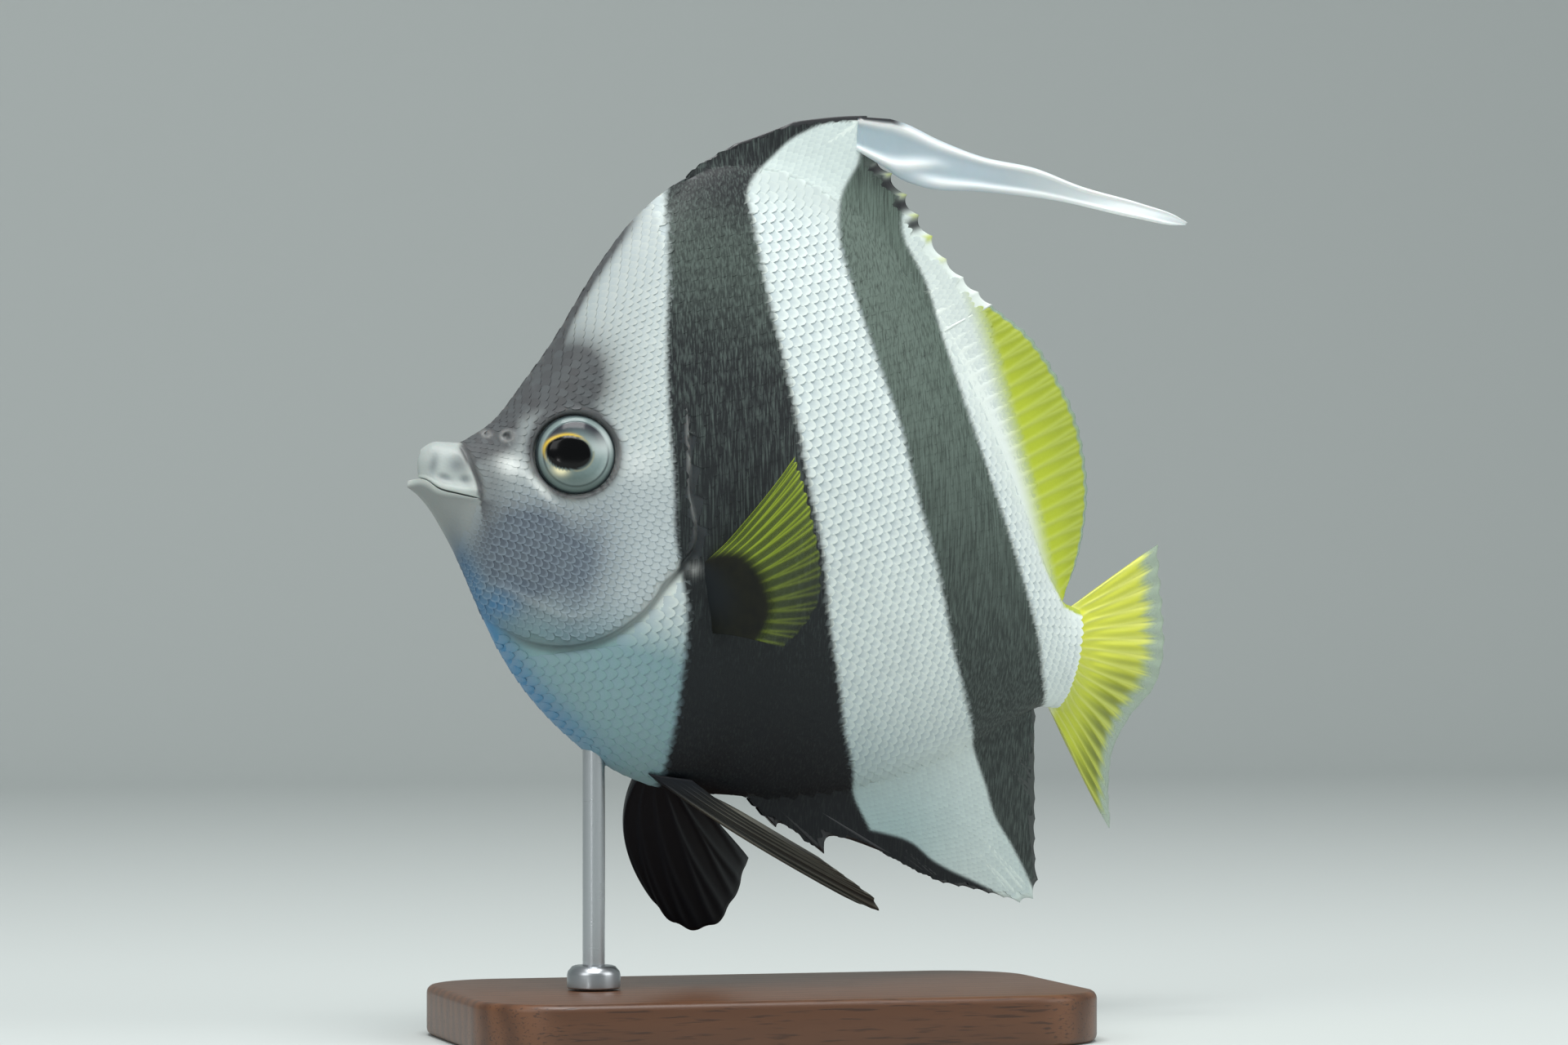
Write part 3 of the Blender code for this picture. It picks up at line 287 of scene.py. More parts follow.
# Reaches of the marks, as (start, full, fade, end): along the fish, up the flank, or down the gill edge
NAPE, SNOUT, THROAT = (14.0, 18.0, 23.0, 28.0), (5.5, 8.5, 11.0, 16.0), (6.0, 12.0, 30.0, 46.0)
STRIPE_TOP, ANAL_EDGING = (36.0, 42.0, 60.0, 68.0), (79.0, 81.0, 117.0, 122.0)
FIRST_ASH = (28.0, 48.0, 48.0, 59.0)
GILL_FREE, GILL_CREASE, PLATE_GLEAM = (0.3, 0.42, 0.9, 1.0), (0.53, 0.56, 0.93, 1.0), (0.35, 0.5, 0.9, 1.0)
# Soft oval spots of a mark, as (s, h, reach along, reach up, strength)
SPOTS = {
    "dusk": [(20.5, 22.2, 5.2, 6.5, 1.0), (11.8, 11.2, 2.6, 2.6, 0.4), (14.8, 17.2, 3.0, 3.0, 0.3)],
    "cheek": [(19.8, -5.6, 10.0, 9.4, 1.5)],
    "blue": [(17.4, -14.6, 3.25, 2.6, 0.95)],
    "shine": [(14.2, 6.9, 1.95, 1.5, 1.0), (33.0, 11.8, 2.6, 2.6, 0.45), (44.8, -2.2, 1.0, 1.0, 0.3)],
}


def spots(mark, s, h):
    """A mark's oval spots: the sum of strength e^-(((s - at_s) / along)^2 + ((h - at_h) / up)^2)."""
    return sum(strength * hump(np.hypot((s - at_s) / along_s, (h - at_h) / up), 1.0)
               for at_s, at_h, along_s, up, strength in SPOTS[mark])


def gill_slot(s, h):
    """Distance behind the gill cover's edge, the share down that edge, and 1 where the edge is free."""
    behind, share = nearest(gill_edge, s, h)
    return behind, share, window(*GILL_FREE, share)


def markings(s, h):
    """The markings at (s, h), each from 0 to 1: soft steps across the bands' edges, and soft patches.

    Band and ash make the dark bands, and deep is painted shade that blackens them towards the
    bottom. dusk gives the greys of the head and painted shade in its creases, grooves and pits, cheek
    the slate net, blue a painted bluish sheen on the throat, teal a painted sea-green shade over the
    lower flank, under the belly, over the top and on the lips, shine painted highlights on the snout, rims
    and ridges with bright flecks, and yellow the fins.
    """
    first, second = (step(-soft, soft, s - edges[f"{name}_front"](h))
                     * step(-soft, soft, edges[f"{name}_rear"](h) - s) for name, soft in BAND_SOFTNESS)
    edging = step(-0.4, 0.4, anal_black(s) - h) * window(*ANAL_EDGING, s)
    band = np.maximum(np.maximum(first, second), edging)
    # Painted shade: deep blackens the bands towards the bottom.
    deep = np.maximum(np.maximum(first, edging), 0.1 * second) * (1 - step(-30.0, 28.0, h))
    ash = second * (0.2 + 0.8 * step(-14.0, 44.0, h)) * (1 - 0.5 * step(62.0, 68.0, h)) * (1 - edging)
    ash += 0.4 * first * window(*FIRST_ASH, h)
    yellow = step(-3.2, 3.2, s - edges["yellow_front"](h)) * (h > back(s) - 1.0)

    round_eye = np.hypot(s - EYE[0], h - EYE[1])
    from_back, from_belly, from_mouth = back(s) - h, h - belly(s), h - mouth(s)
    slot, share, free = gill_slot(s, h)
    fold, fold_share = nearest(lip_fold, s, h)
    on_snout, on_cover = s < 12, slot < 0.3
    on_lip = (1 - step(-1.0, 0.4, fold)) * on_snout * step(0.3, 0.7, from_mouth)
    cells = lip_cells(s, h)

    tone = 0.14 + 0.1 * step(0.0, 14.0, h) + 0.22 * on_cover * (1 - step(22.0, 38.0, s))
    tone = (tone + 0.4 * hump(round_eye - 7.0, 0.7)) * (1 - step(-1.0, 1.0, s - edges["first_front"](h)))
    muzzle = step(0.2, 1.0, fold) * (1 - step(11.0, 18.0, s)) * (1 - step(14.0, 20.0, h)) * step(-8.0, 2.0, h)
    jaw = (1 - step(8.0, 16.0, s)) * (1 - step(-1.5, -0.5, from_mouth))
    profile = hump(from_back, 2.4) * window(*NAPE, s) + hump(from_back, 3.6) * window(*SNOUT, s)
    upper_edge = 1 - step(0.57, 0.66, share)
    # Painted shade: crease_shade in the slot behind the gill cover, lip_groove_shade in the groove
    # behind the upper lip, stripe_top_shade over the top of the white stripe where the back turns upward.
    crease_shade = window(*GILL_CREASE, share) * (0.25 + 0.7 * upper_edge) * hump(slot - 0.4, 1.0)
    crease_shade += 0.45 * free * hump(slot - 0.6, 0.4) * (1 - 0.6 * step(0.6, 0.7, share))
    lip_groove_shade = hump(fold - 0.2, 0.42) * on_snout * step(0.0, 0.2, fold_share)
    stripe_top_shade = (1 - band) * window(*STRIPE_TOP, s) * (from_back > 0) * hump(from_back, 4.5)
    dusk = spots("dusk", s, h) + tone + 0.42 * (muzzle + jaw) + 0.75 * profile + crease_shade
    dusk += 0.95 * lip_groove_shade + 0.85 * hump(round_eye - 6.5, 0.38) + 0.16 * on_lip + 0.2 * stripe_top_shade

    cheek = spots("cheek", s, h) + 0.4 * step(24.0, 30.0, s) * (1 - step(6.0, 16.0, h))
    cheek = cheek * step(6.8, 8.2, round_eye) * step(8.5, 12.5, s) * on_cover + 0.5 * on_lip * cells
    # blue: a painted bluish sheen along the throat and on the lower gill cover.
    blue = np.maximum(hump(from_belly, 3.0) * window(*THROAT, s), spots("blue", s, h) * on_cover)
    # teal: painted shade tinted sea-green, over the lower head and breast, the lower flank, under
    # the belly as a painted shadow, over the top of the back and fins, and on the lips.
    teal = 0.85 * (1 - step(-19.0, -7.0, h)) * (1 - step(44.0, 56.0, s)) + 0.36 * (1 - step(-34.0, 2.0, h))
    teal += 0.4 * (1 - step(-36.0, -12.0, h)) * (1 - step(92.0, 114.0, s))
    teal += 0.2 * step(50.0, 66.0, h) + 0.25 * on_lip
    # shine: painted highlights on the snout, on rims and on ridges, with bright flecks.
    shine = spots("shine", s, h) + 0.12 * on_lip * (1 - cells)
    shine += hump(h - 4.9 + 0.62 * (s - 18.6), 0.7) * hump(s - 19.0, 2.4)
    # Painted highlights on the nostrils' rims, and painted shade in their pits.
    for centre_s, centre_h, radius in NOSTRILS:
        off = np.hypot(s - centre_s, h - centre_h)
        shine += 0.15 * hump(off - radius, 0.28)
        dusk += 0.4 * (1 - step(0.2 * radius, radius, off))
    fold, fold_share = nearest(preopercle, s, h)
    shine += 0.1 * hump(fold + 0.2, 0.7) * window(*PLATE_GLEAM, fold_share)
    marks = {"band": band, "ash": ash, "deep": deep, "dusk": dusk, "cheek": cheek, "blue": blue, "teal": teal,
             "shine": shine, "yellow": yellow}
    return {name: np.clip(value, 0.0, 1.0) for name, value in marks.items()}


def patch(top, bottom, front, rear, a, v):
    """Points inside four boundary curves, blended from both pairs (a front to rear, v top to bottom)."""
    a, v = np.meshgrid(a, v, indexing="ij")
    a, v = a[..., None], v[..., None]
    a_line, v_line = a[..., 0], v[..., 0]
    sides = (1 - v) * top(a_line) + v * bottom(a_line) + (1 - a) * front(v_line) + a * rear(v_line)
    corners = (1 - a) * ((1 - v) * top(0.0) + v * bottom(0.0)) + a * ((1 - v) * top(1.0) + v * bottom(1.0))
    return sides - corners


def quads(index):
    """The faces of a grid of point numbers, one for each cell."""
    cells = [index[:-1, :-1], index[:-1, 1:], index[1:, 1:], index[1:, :-1]]
    return np.stack([cell.ravel() for cell in cells], axis=1)


def mesh_from(name, points, faces):
    """A mesh of equal faces, filled in as whole arrays."""
    mesh = bpy.data.meshes.new(name)
    mesh.vertices.add(len(points))
    mesh.vertices.foreach_set("co", np.asarray(points, np.float32).ravel())
    mesh.loops.add(faces.size)
    mesh.loops.foreach_set("vertex_index", faces.ravel().astype(np.int32))
    mesh.polygons.add(len(faces))
    mesh.polygons.foreach_set("loop_start", np.arange(0, faces.size, faces.shape[1], dtype=np.int32))
    mesh.update(calc_edges=True)
    mesh.validate()
    return mesh


def set_values(mesh, values):
    """Writes named numbers, one for each point of the mesh, as attributes."""
    for name, value in values.items():
        layer = mesh.attributes.get(name) or mesh.attributes.new(name, "FLOAT", "POINT")
        layer.data.foreach_set("value", np.ascontiguousarray(np.ravel(value), np.float32))


def get_values(mesh, name):
    """Reads an attribute back as an array."""
    out = np.empty(len(mesh.vertices), np.float32)
    mesh.attributes[name].data.foreach_get("value", out)
    return out.astype(float)


def close_up(mesh, merge=4e-6):
    """Joins points that coincide, drops faces without area, and points every face outwards."""
    work = bmesh.new()
    work.from_mesh(mesh)
    bmesh.ops.remove_doubles(work, verts=work.verts, dist=merge)
    bmesh.ops.recalc_face_normals(work, faces=work.faces)
    work.to_mesh(mesh)
    work.free()
    mesh.update()


def piece(mesh, finish, slot, *nodes):
    """Makes a mesh a piece of the same name: smooth, riding on the one body, standing for its solids."""
    mesh.shade_smooth()
    mesh.materials.append(finish)
    obj = bpy.data.objects.new(mesh.name, mesh)
    bpy.context.scene.collection.objects.link(obj)
    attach(obj, "root")
    if nodes:
        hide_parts(*nodes)


def colour(code):
    """An sRGB hex colour as linear RGBA: ((c + 0.055) / 1.055)^2.4 above the toe, c / 12.92 below it."""
    srgb = np.array([int(code[i:i + 2], 16) / 255 for i in (1, 3, 5)])
    linear = np.where(srgb > 0.04045, ((srgb + 0.055) / 1.055) ** 2.4, srgb / 12.92)
    return (*linear.tolist(), 1.0)


def node(tree, kind, inputs, **settings):
    """Adds a node with its settings. Inputs give each socket a value, or the output that feeds it."""
    made = tree.nodes.new("ShaderNode" + kind)
    for key, value in settings.items():
        setattr(made, key, value)
    for key, value in inputs.items():
        if isinstance(value, bpy.types.NodeSocket):
            tree.links.new(value, made.inputs[key])
        else:
            made.inputs[key].default_value = value
    return made


def new_finish(name, **sockets):
    """A material with one shader, whose constants are set on its own sockets, and Object coordinates."""
    material = bpy.data.materials.new(name)
    material.use_nodes = True
    tree = material.node_tree
    for key, value in sockets.items():
        tree.nodes["Principled BSDF"].inputs[key.replace("_", " ")].default_value = value
    return material, tree, node(tree, "TexCoord", {}).outputs["Object"]


def feed(tree, **outputs):
    """Links outputs to the shader's sockets of the same names."""
    for key, output in outputs.items():
        tree.links.new(output, tree.nodes["Principled BSDF"].inputs[key.replace("_", " ")])


def read(tree, mask):
    """An output as it is, or the attribute of that name. After "not " it is 1 less the attribute."""
    if not isinstance(mask, str):
        return mask
    value = node(tree, "Attribute", {}, attribute_name=mask.removeprefix("not ")).outputs["Fac"]
    if mask.startswith("not "):
        value = node(tree, "Math", {0: 1.0, 1: value}, operation="SUBTRACT", use_clamp=True).outputs[0]
    return value


def tinted(tree, start, layers):
    """Lays colours over a first one. Each layer is (mask, or several to multiply, strength, colour)."""
    mixed = colour(start) if isinstance(start, str) else start
    for masks, share, over in layers:
        for mask in masks if isinstance(masks, tuple) else (masks,):
            inputs = {0: read(tree, mask), 1: share}
            share = node(tree, "Math", inputs, operation="MULTIPLY", use_clamp=True).outputs[0]
        mixed = node(tree, "Mix", {0: share, 6: mixed, 7: colour(over)}, data_type="RGBA").outputs[2]
    return mixed


# The bare skin: satin guanine silver. Grain 0.45 mm, the tiny scales of the face, drawn as bump
SILVER_WHITE, CHARCOAL, SLATE = "#eef7f1", "#222427", "#8d9a9c"
# Of these layers blue is a painted sheen, teal and deep painted shade,
# dusk partly painted shade, and shine painted highlights.
MARK_LAYERS = [("teal", 0.8, "#4d8c90"), ("cheek", 0.9, "#34455c"), ("blue", 0.9, "#1f7bb0"),
               ("yellow", 1.0, "#bccb26"), ("dusk", 0.96, "#39373a"), ("band", 1.0, CHARCOAL),
               ("ash", 0.7, "#6f8075"), ("deep", 0.85, "#070d13"), ("shine", 0.9, "#f8fbf6")]
FACE_GRAIN = 0.45
SKIN_MOTTLE = 3.0
skin_finish, tree, place = new_finish("satin_fish_skin", Roughness=0.42, Specular_IOR_Level=0.28,
                                      Coat_Weight=0.06, Coat_Roughness=0.25,
                                      Subsurface_Weight=0.08, Subsurface_Scale=0.002)
grain = node(tree, "TexVoronoi", {"Vector": place, "Scale": 1 / (FACE_GRAIN * MM)}).outputs["Distance"]
cloud = node(tree, "TexNoise", {"Vector": place, "Scale": 1 / (SKIN_MOTTLE * MM), "Detail": 3.0})
mottle = cloud.outputs["Fac"]
bump = node(tree, "Bump", {"Height": grain, "Strength": 0.25, "Distance": 0.08 * MM}).outputs[0]
feed(tree, Base_Color=tinted(tree, SILVER_WHITE, [*MARK_LAYERS, (mottle, 0.14, SLATE)]), Normal=bump)

JAW_COLUMNS = 26
UPPER_ROWS = 66
LOWER_ROWS = 60
HEAD_COLUMNS = 100
TRUNK_COLUMNS = 96
ROW_CROWDING = 0.6
SNOUT_ROUND = 0.34

share = np.linspace(0.0, 1.0, UPPER_ROWS + LOWER_ROWS + 1)
rows = (1 - ROW_CROWDING) * share + ROW_CROWDING * (0.5 - 0.5 * np.cos(np.pi * share))
rows = np.interp(rows, [0.0, rows[UPPER_ROWS], 1.0], [0.0, MOUTH_SPLIT, 1.0])
jaw_a = np.linspace(0.0, 1.0, JAW_COLUMNS) ** 1.4
corner = jaw_rear(MOUTH_SPLIT)

top = along(back, 0.9, JAW_REAR[0][0])


def lip_line(side, start):
    """The mouth's line from start to its corner, parted by half the gap above (side 1) or below (side -1)."""
    return along(lambda s: mouth(s) + side * 0.5 * MOUTH_GAP * np.clip((corner[0] - s) / 1.2, 0.0, 1.0),
                 start, corner[0])


lip = lip_line(1, 1.5)
upper = patch(top, lip, through([top(0.0), (0.8, 4.6), lip(0.0)]),
              lambda f: jaw_rear(f * MOUTH_SPLIT), jaw_a, rows[:UPPER_ROWS + 1] / MOUTH_SPLIT)
lip = lip_line(-1, 0.1)
chin = along(belly, 0.2, JAW_REAR[-1][0])
chin_front = through([lip(0.0), 0.5 * (lip(0.0) + chin(0.0)) - (0.1, 0.0), chin(0.0)])
lower = patch(lip, chin, chin_front, lambda f: jaw_rear(MOUTH_SPLIT + f * (1 - MOUTH_SPLIT)), jaw_a,
              (rows[UPPER_ROWS:] - MOUTH_SPLIT) / (1 - MOUTH_SPLIT))
head = patch(along(back, JAW_REAR[0][0], GILL_EDGE[0][0]), along(belly, JAW_REAR[-1][0], GILL_EDGE[-1][0]),
             jaw_rear, gill_edge, np.linspace(0.0, 1.0, HEAD_COLUMNS), rows)
trunk_top, trunk_bottom = along(back, GILL_EDGE[0][0], TAIL_END), along(belly, GILL_EDGE[-1][0], TAIL_END)
tail_line = through([trunk_top(1.0), 0.5 * (trunk_top(1.0) + trunk_bottom(1.0)), trunk_bottom(1.0)])
trunk_a = np.linspace(0.0, 1.0, TRUNK_COLUMNS)
trunk_a[0] = 0.0016
trunk = patch(trunk_top, trunk_bottom, gill_edge, tail_line, trunk_a, rows)

curl = np.sqrt(1 - (1 - np.minimum(jaw_a / SNOUT_ROUND, 1.0)) ** 2)[:, None]
# Each grid with its swelling at the snout, and its rows along the body's outline. The third is closed behind
grids = [(upper, curl, [0]), (lower, curl, [-1]), (np.concatenate([head, trunk]), 1.0, [0, -1])]
points, plane, faces = [], [], []
for grid, swell, edge_rows in grids:
    half = skin_half(grid[..., 0], grid[..., 1]) * swell
    for row in edge_rows:
        edge = half_width(grid[:, row, 0], grid[:, row, 1])
        half[:, row] = np.where(edge < 0.3, 0.0, half[:, row])
    numbers = []
    for side in (-1, 1):
        start = sum(len(part) for part in points)
        numbers.append(np.arange(start, start + half.size).reshape(half.shape))
        points.append(np.concatenate([grid, side * half[..., None]], axis=-1).reshape(-1, 3))
        plane.append(grid.reshape(-1, 2))
        faces.append(quads(numbers[-1]))
    left, right = numbers
    faces += [quads(np.stack([left[:, row], right[:, row]])) for row in (0, -1)]
    if len(edge_rows) == 2:
        faces.append(quads(np.stack([left[-1], right[-1]])))
points, plane, faces = np.concatenate(points), np.concatenate(plane), np.concatenate(faces)
skin_mesh = mesh_from("skin", posed(points), faces)
set_values(skin_mesh, {"s": plane[:, 0], "h": plane[:, 1]})
close_up(skin_mesh)
s, h = get_values(skin_mesh, "s"), get_values(skin_mesh, "h")
values = markings(s, h)
# A painted highlight along the rim of the gill cover.
slot, share = nearest(gill_edge, s, h)
rim_highlight = hump(slot + 0.15, 0.25) * window(0.3, 0.42, 0.5, 0.6, share)
values["shine"] = np.maximum(values["shine"], 0.26 * rim_highlight)
set_values(skin_mesh, values)
piece(skin_mesh, skin_finish, "skin",
      "head", "upper_jaw", "lower_jaw", "gill_cover_left", "gill_cover_right", "trunk", "tail_root")

# Scales of the body
# Thin overlapping shingles, each rooted in the skin in front and free behind, in staggered rows that
# converge towards the tail. They are 1.5 mm apart on the trunk, 1.15 mm on the head and 0.8 mm on the face.
SCALE_ACROSS = 5
SCALE_ALONG = 4
SCALE_THICK = 0.1
SCALE_SINK = 0.24
SCALE_LIFT = 0.13
SCALE_CROWN = 0.11
SCALE_BED = 0.1
SCALE_OVERLAP = 2.1
SCALE_BREADTH = 1.14
SCALE_SHARP = math.radians(40.0)
TRUNK_SIZE, HEAD_SIZE, FACE_SIZE = (1.5, 1.75), (1.15, 1.25), (0.8, 0.85)
PLAIN_FLATTER = (0.8, 0.65), (1.15, 0.5), (1.5, 0.35)
BAND_FLATTER, BREAST_FLATTER, FIN_FLATTER, CHEEK_FLATTER = 0.8, 0.65, 0.8, 0.6
ROLL_SPREAD, SIZE_SPREAD, LIFT_SPREAD = 0.05, 0.03, 0.006
FIN_SUNK = 1.4
WEB_HALF = 0.15
ROOT_HALF = FIN_EDGE - COAT_DEPTH
ROOT_FADE = 2.4
ONTO_FIN = 1.6
ONTO_DORSAL, ONTO_ANAL = (33.0, 37.0, 106.0, 111.0), (65.0, 69.0, 104.0, 109.0)
UV_PATCH = 0.003
EYE_BARE = 6.9
MIDLINE = [(0.0, 3.0), (23.0, 6.0), (45.0, 3.0), (80.0, 6.0), (105.0, 4.5), (120.0, 0.2)]
UPPER_SQUEEZE = (40.0, 1.0), (115.0, 0.8)
LOWER_SQUEEZE = (40.0, 1.0), (115.0, 0.55)
BAND_STREAK = (0.26, 5.0)
SCALE_MOTTLE = 4.0
rng = np.random.default_rng(20)
midline = smooth(MIDLINE)


def scale_rows(start, end, size, lean=lambda s: 0.0):
    """Roots in columns a pitch apart from start to end, staggered by half a row. Size is (pitch, row).

    In each column the rows lie at equal distances round the girth, g = (k + half) row squeeze + lean,
    where g runs from the middle line over the curved flank. Gives s, h and g.
    """
    pitch, row = size
    turn = np.sin(np.linspace(-0.5, 0.5, 241) * np.pi)
    parts = []
    for number, s in enumerate(np.arange(start, end, pitch)):
        middle = float(midline(s))
        h = middle + turn * np.where(turn > 0, float(back(s)) - middle, middle - float(belly(s)))
        half = half_width(np.full(len(h), s), h)
        g = np.concatenate([[0.0], np.cumsum(np.hypot(np.diff(h), np.diff(half)))])
        g = g - np.interp(middle, h, g)
        k = np.arange(-60, 60) + 0.5 * (number % 2)
        squeeze = np.where(k > 0, straight(UPPER_SQUEEZE, s), straight(LOWER_SQUEEZE, s))
        rows_g = k * row * squeeze + lean(s)
        rows_g = rows_g[(rows_g > g[0] + 0.3) & (rows_g < g[-1] - 0.3)]
        parts.append(np.column_stack([np.full(len(rows_g), s), np.interp(rows_g, g, h), rows_g]))
    return np.concatenate(parts).T


def root_thickness(distance):
    """Half a fin's thickness at a distance from the body: web + (root - web) e^-(distance / fade)."""
    return WEB_HALF + (ROOT_HALF - WEB_HALF) * np.exp(-np.maximum(distance, 0.0) / ROOT_FADE)


def under_scales(s, h):
    """Half the thickness under the body's scales: the skin's, or past its back or belly the fin's there."""
    past = np.maximum(h - back(s), belly(s) - h)
    return np.where(past > 0, root_thickness(0.9 * past), skin_half(s, h))


def scale_coat(name, side, roots, turn, size, half_at, slot):
    """A coat of scales as one mesh. Each is a closed shingle with a rounded free edge behind.

    At share p along it and q across it, a point lies at x = length (p (1 - 0.36 q^2 p) - 0.55) and
    y = half breadth q (1 - 0.25 (1 - p)^2), and z = bed + (1 - flatter) (a rise from -sink to lift, plus
    crown (1 - q^2) p). The bands, the breast, the cheek, the brow and the fins have flatter scales. The x
    axis is turned up from the fish's tailward direction, and x and y follow the flank's own surface.
    """
    s, h, girth = roots
    count = len(s)
    pitch, row = size
    length, breadth = pitch * SCALE_OVERLAP, row * SCALE_BREADTH
    small = pitch / TRUNK_SIZE[0]
    reach = 0.3

    def on_flank(s, h):
        return posed(np.stack([s, h, side * half_at(s, h)], axis=-1))

    by_s = on_flank(s + reach, h) - on_flank(s - reach, h)
    by_h = on_flank(s, h + reach) - on_flank(s, h - reach)
    normal = np.cross(by_s, by_h) * -side
    normal = normal / np.linalg.norm(normal, axis=1, keepdims=True)
    per_s, per_h = (2 * reach * MM / np.linalg.norm(by, axis=1, keepdims=True) for by in (by_s, by_h))
    roll = (turn + rng.normal(0.0, ROLL_SPREAD, count))[:, None]

    across, rearwards = np.linspace(-1.0, 1.0, SCALE_ACROSS), np.linspace(0.0, 1.0, SCALE_ALONG) ** 0.8
    q, p = np.meshgrid(across, rearwards, indexing="ij")
    x = p * (1 - 0.36 * q**2 * p) - 0.55
    y = 0.5 * q * (1 - 0.25 * (1 - p) ** 2)
    z = small * (-SCALE_SINK + (SCALE_SINK + SCALE_LIFT) * p + SCALE_CROWN * (1 - q**2) * p)
    under_by = np.zeros(q.size)
    top = np.arange(q.size).reshape(q.shape)
    rim = np.concatenate([top[0, :-1], top[:-1, -1], top[-1, :0:-1], top[:0:-1, 0]])
    x, y, z, p, q = (np.concatenate([value.ravel(), value.ravel()[rim]]) for value in (x, y, z, p, q))
    under_by = np.concatenate([under_by, np.full(len(rim), SCALE_THICK * small)])
    under = np.arange(top.size, top.size + len(rim))
    turned = np.arange((len(rim) - 2) // 2)
    shingle = np.concatenate([
        quads(top), np.stack([rim, under, np.roll(under, -1), np.roll(rim, -1)], axis=1),
        np.stack([under[turned], under[-1 - turned], under[-2 - turned], under[turned + 1]], axis=1)])

    scale = (1 + rng.normal(0.0, SIZE_SPREAD, count))[:, None]
    x, y = x * length * scale, y * breadth * scale
    here = markings(s, h)
    on_fin = np.maximum(step(-9.0, 0.0, h - back(s)) * step(26.0, 34.0, s),
                        step(-6.0, 0.0, belly(s) - h) * step(56.0, 64.0, s))
    brow = (1 - step(1.0, 8.0, back(s) - h)) * (1 - step(30.0, 34.0, s))
    flatter = np.max([np.full(count, straight(PLAIN_FLATTER, pitch)), BAND_FLATTER * here["band"],
                      BREAST_FLATTER * step(0.5, 0.9, here["teal"]), CHEEK_FLATTER * here["cheek"],
                      FIN_FLATTER * np.maximum(on_fin, brow)], axis=0)
    bed = SCALE_BED * small - under_by + rng.normal(0.0, LIFT_SPREAD, count)[:, None] * small
    z = z * (1 - flatter[:, None]) + bed
    at_s = s[:, None] + per_s * (x * np.cos(roll) + y * side * np.sin(roll))
    at_h = h[:, None] + per_h * (x * np.sin(roll) - y * side * np.cos(roll))
    clear_of_eye = np.maximum(EYE_BARE / np.maximum(np.hypot(at_s - EYE[0], at_h - EYE[1]), 1.0), 1.0)
    at_s, at_h = EYE[0] + (at_s - EYE[0]) * clear_of_eye, EYE[1] + (at_h - EYE[1]) * clear_of_eye
    if slot == "skin":
        over, below = ONTO_FIN * window(*ONTO_DORSAL, at_s), ONTO_FIN * window(*ONTO_ANAL, at_s)
        at_h = np.clip(at_h, belly(at_s) + 0.05 - below, back(at_s) - 0.05 + over)
    points = on_flank(at_s, at_h) + normal[:, None] * z[..., None] * MM
    faces = (shingle[None] + np.arange(count)[:, None, None] * len(p)).reshape(-1, 4)
    coat = mesh_from(name, points.reshape(-1, 3), faces)
    coat.set_sharp_from_angle(angle=SCALE_SHARP)

    values = markings(at_s, at_h)
    plain = (1 - values["band"]) * (1 - values["dusk"])
    ring = np.maximum(step(0.84, 0.98, p), step(0.7, 1.0, np.abs(q)) * step(0.3, 0.5, p))
    values["net"] = ring * np.clip(values["cheek"] * 1.5, 0.0, 1.0) * plain
    sides = step(0.45, 1.0, np.abs(q)) * (1 - step(0.7, 0.95, p))
    # pocket: painted shade over each scale's covered root and its sides, under its neighbours.
    pocket = np.maximum(1 - step(0.5, 0.8, p - 0.1 * (1 - q**2)), 0.8 * sides)
    off_cheek = np.clip(1 - 1.3 * values["cheek"], 0.0, 1.0)
    values["pocket"] = pocket * plain * off_cheek * (1 - 0.6 * on_fin[:, None])
    values["shade"] = rng.uniform(0.0, 1.0, count)[:, None] * (1 - values["band"])
    set_values(coat, values)

    u = 0.25 + 0.5 * (side > 0) + (s / 125.0 - 0.5) * 0.46
    v = 0.5 + girth / 190.0
    patch_uv = np.stack([u[:, None] + UV_PATCH * (p - 0.5), v[:, None] + UV_PATCH * 0.5 * q + 0 * p], axis=-1)
    corner_of = np.empty(faces.size, np.int32)
    coat.loops.foreach_get("vertex_index", corner_of)
    corner_uv = patch_uv.reshape(-1, 2)[corner_of].astype(np.float32)
    coat.uv_layers.new(name="OFBake").data.foreach_set("uv", corner_uv.ravel())
    piece(coat, scale_finish, slot)


# Guanine scales: a satin, faintly pearly gloss, bright where free, and painted slate shade in the hollow
# under the next
scale_finish, tree, place = new_finish("guanine_scales", Roughness=0.5, Specular_IOR_Level=0.22,
                                       Coat_Weight=0.04, Coat_Roughness=0.3)
stretch = [1 / (BAND_STREAK[axis] * MM) for axis in (0, 0, 1)]
stretched = node(tree, "Mapping", {"Vector": place, "Scale": stretch}).outputs[0]
streaks = node(tree, "TexNoise", {"Vector": stretched, "Scale": 1.0, "Detail": 3.0}).outputs["Fac"]
pale, dark = (node(tree, "MapRange", {"Value": streaks, "From Min": low, "From Max": high}).outputs[0]
              for low, high in ((0.45, 0.75), (0.52, 0.3)))
cloud = node(tree, "TexNoise", {"Vector": place, "Scale": 1 / (SCALE_MOTTLE * MM), "Detail": 3.0})
mottle = cloud.outputs["Fac"]
feed(tree, Base_Color=tinted(tree, SILVER_WHITE, [
    *MARK_LAYERS, ("pocket", 0.5, "#869cae"), ("net", 0.45, "#b4c6d4"), ((dark, "band"), 0.6, "#262c2b"),
    ((pale, "band", "not deep"), 0.42, "#75857e"), ("shade", 0.12, SLATE),
    ((mottle, "not band"), 0.08, "#7d8c96")]))

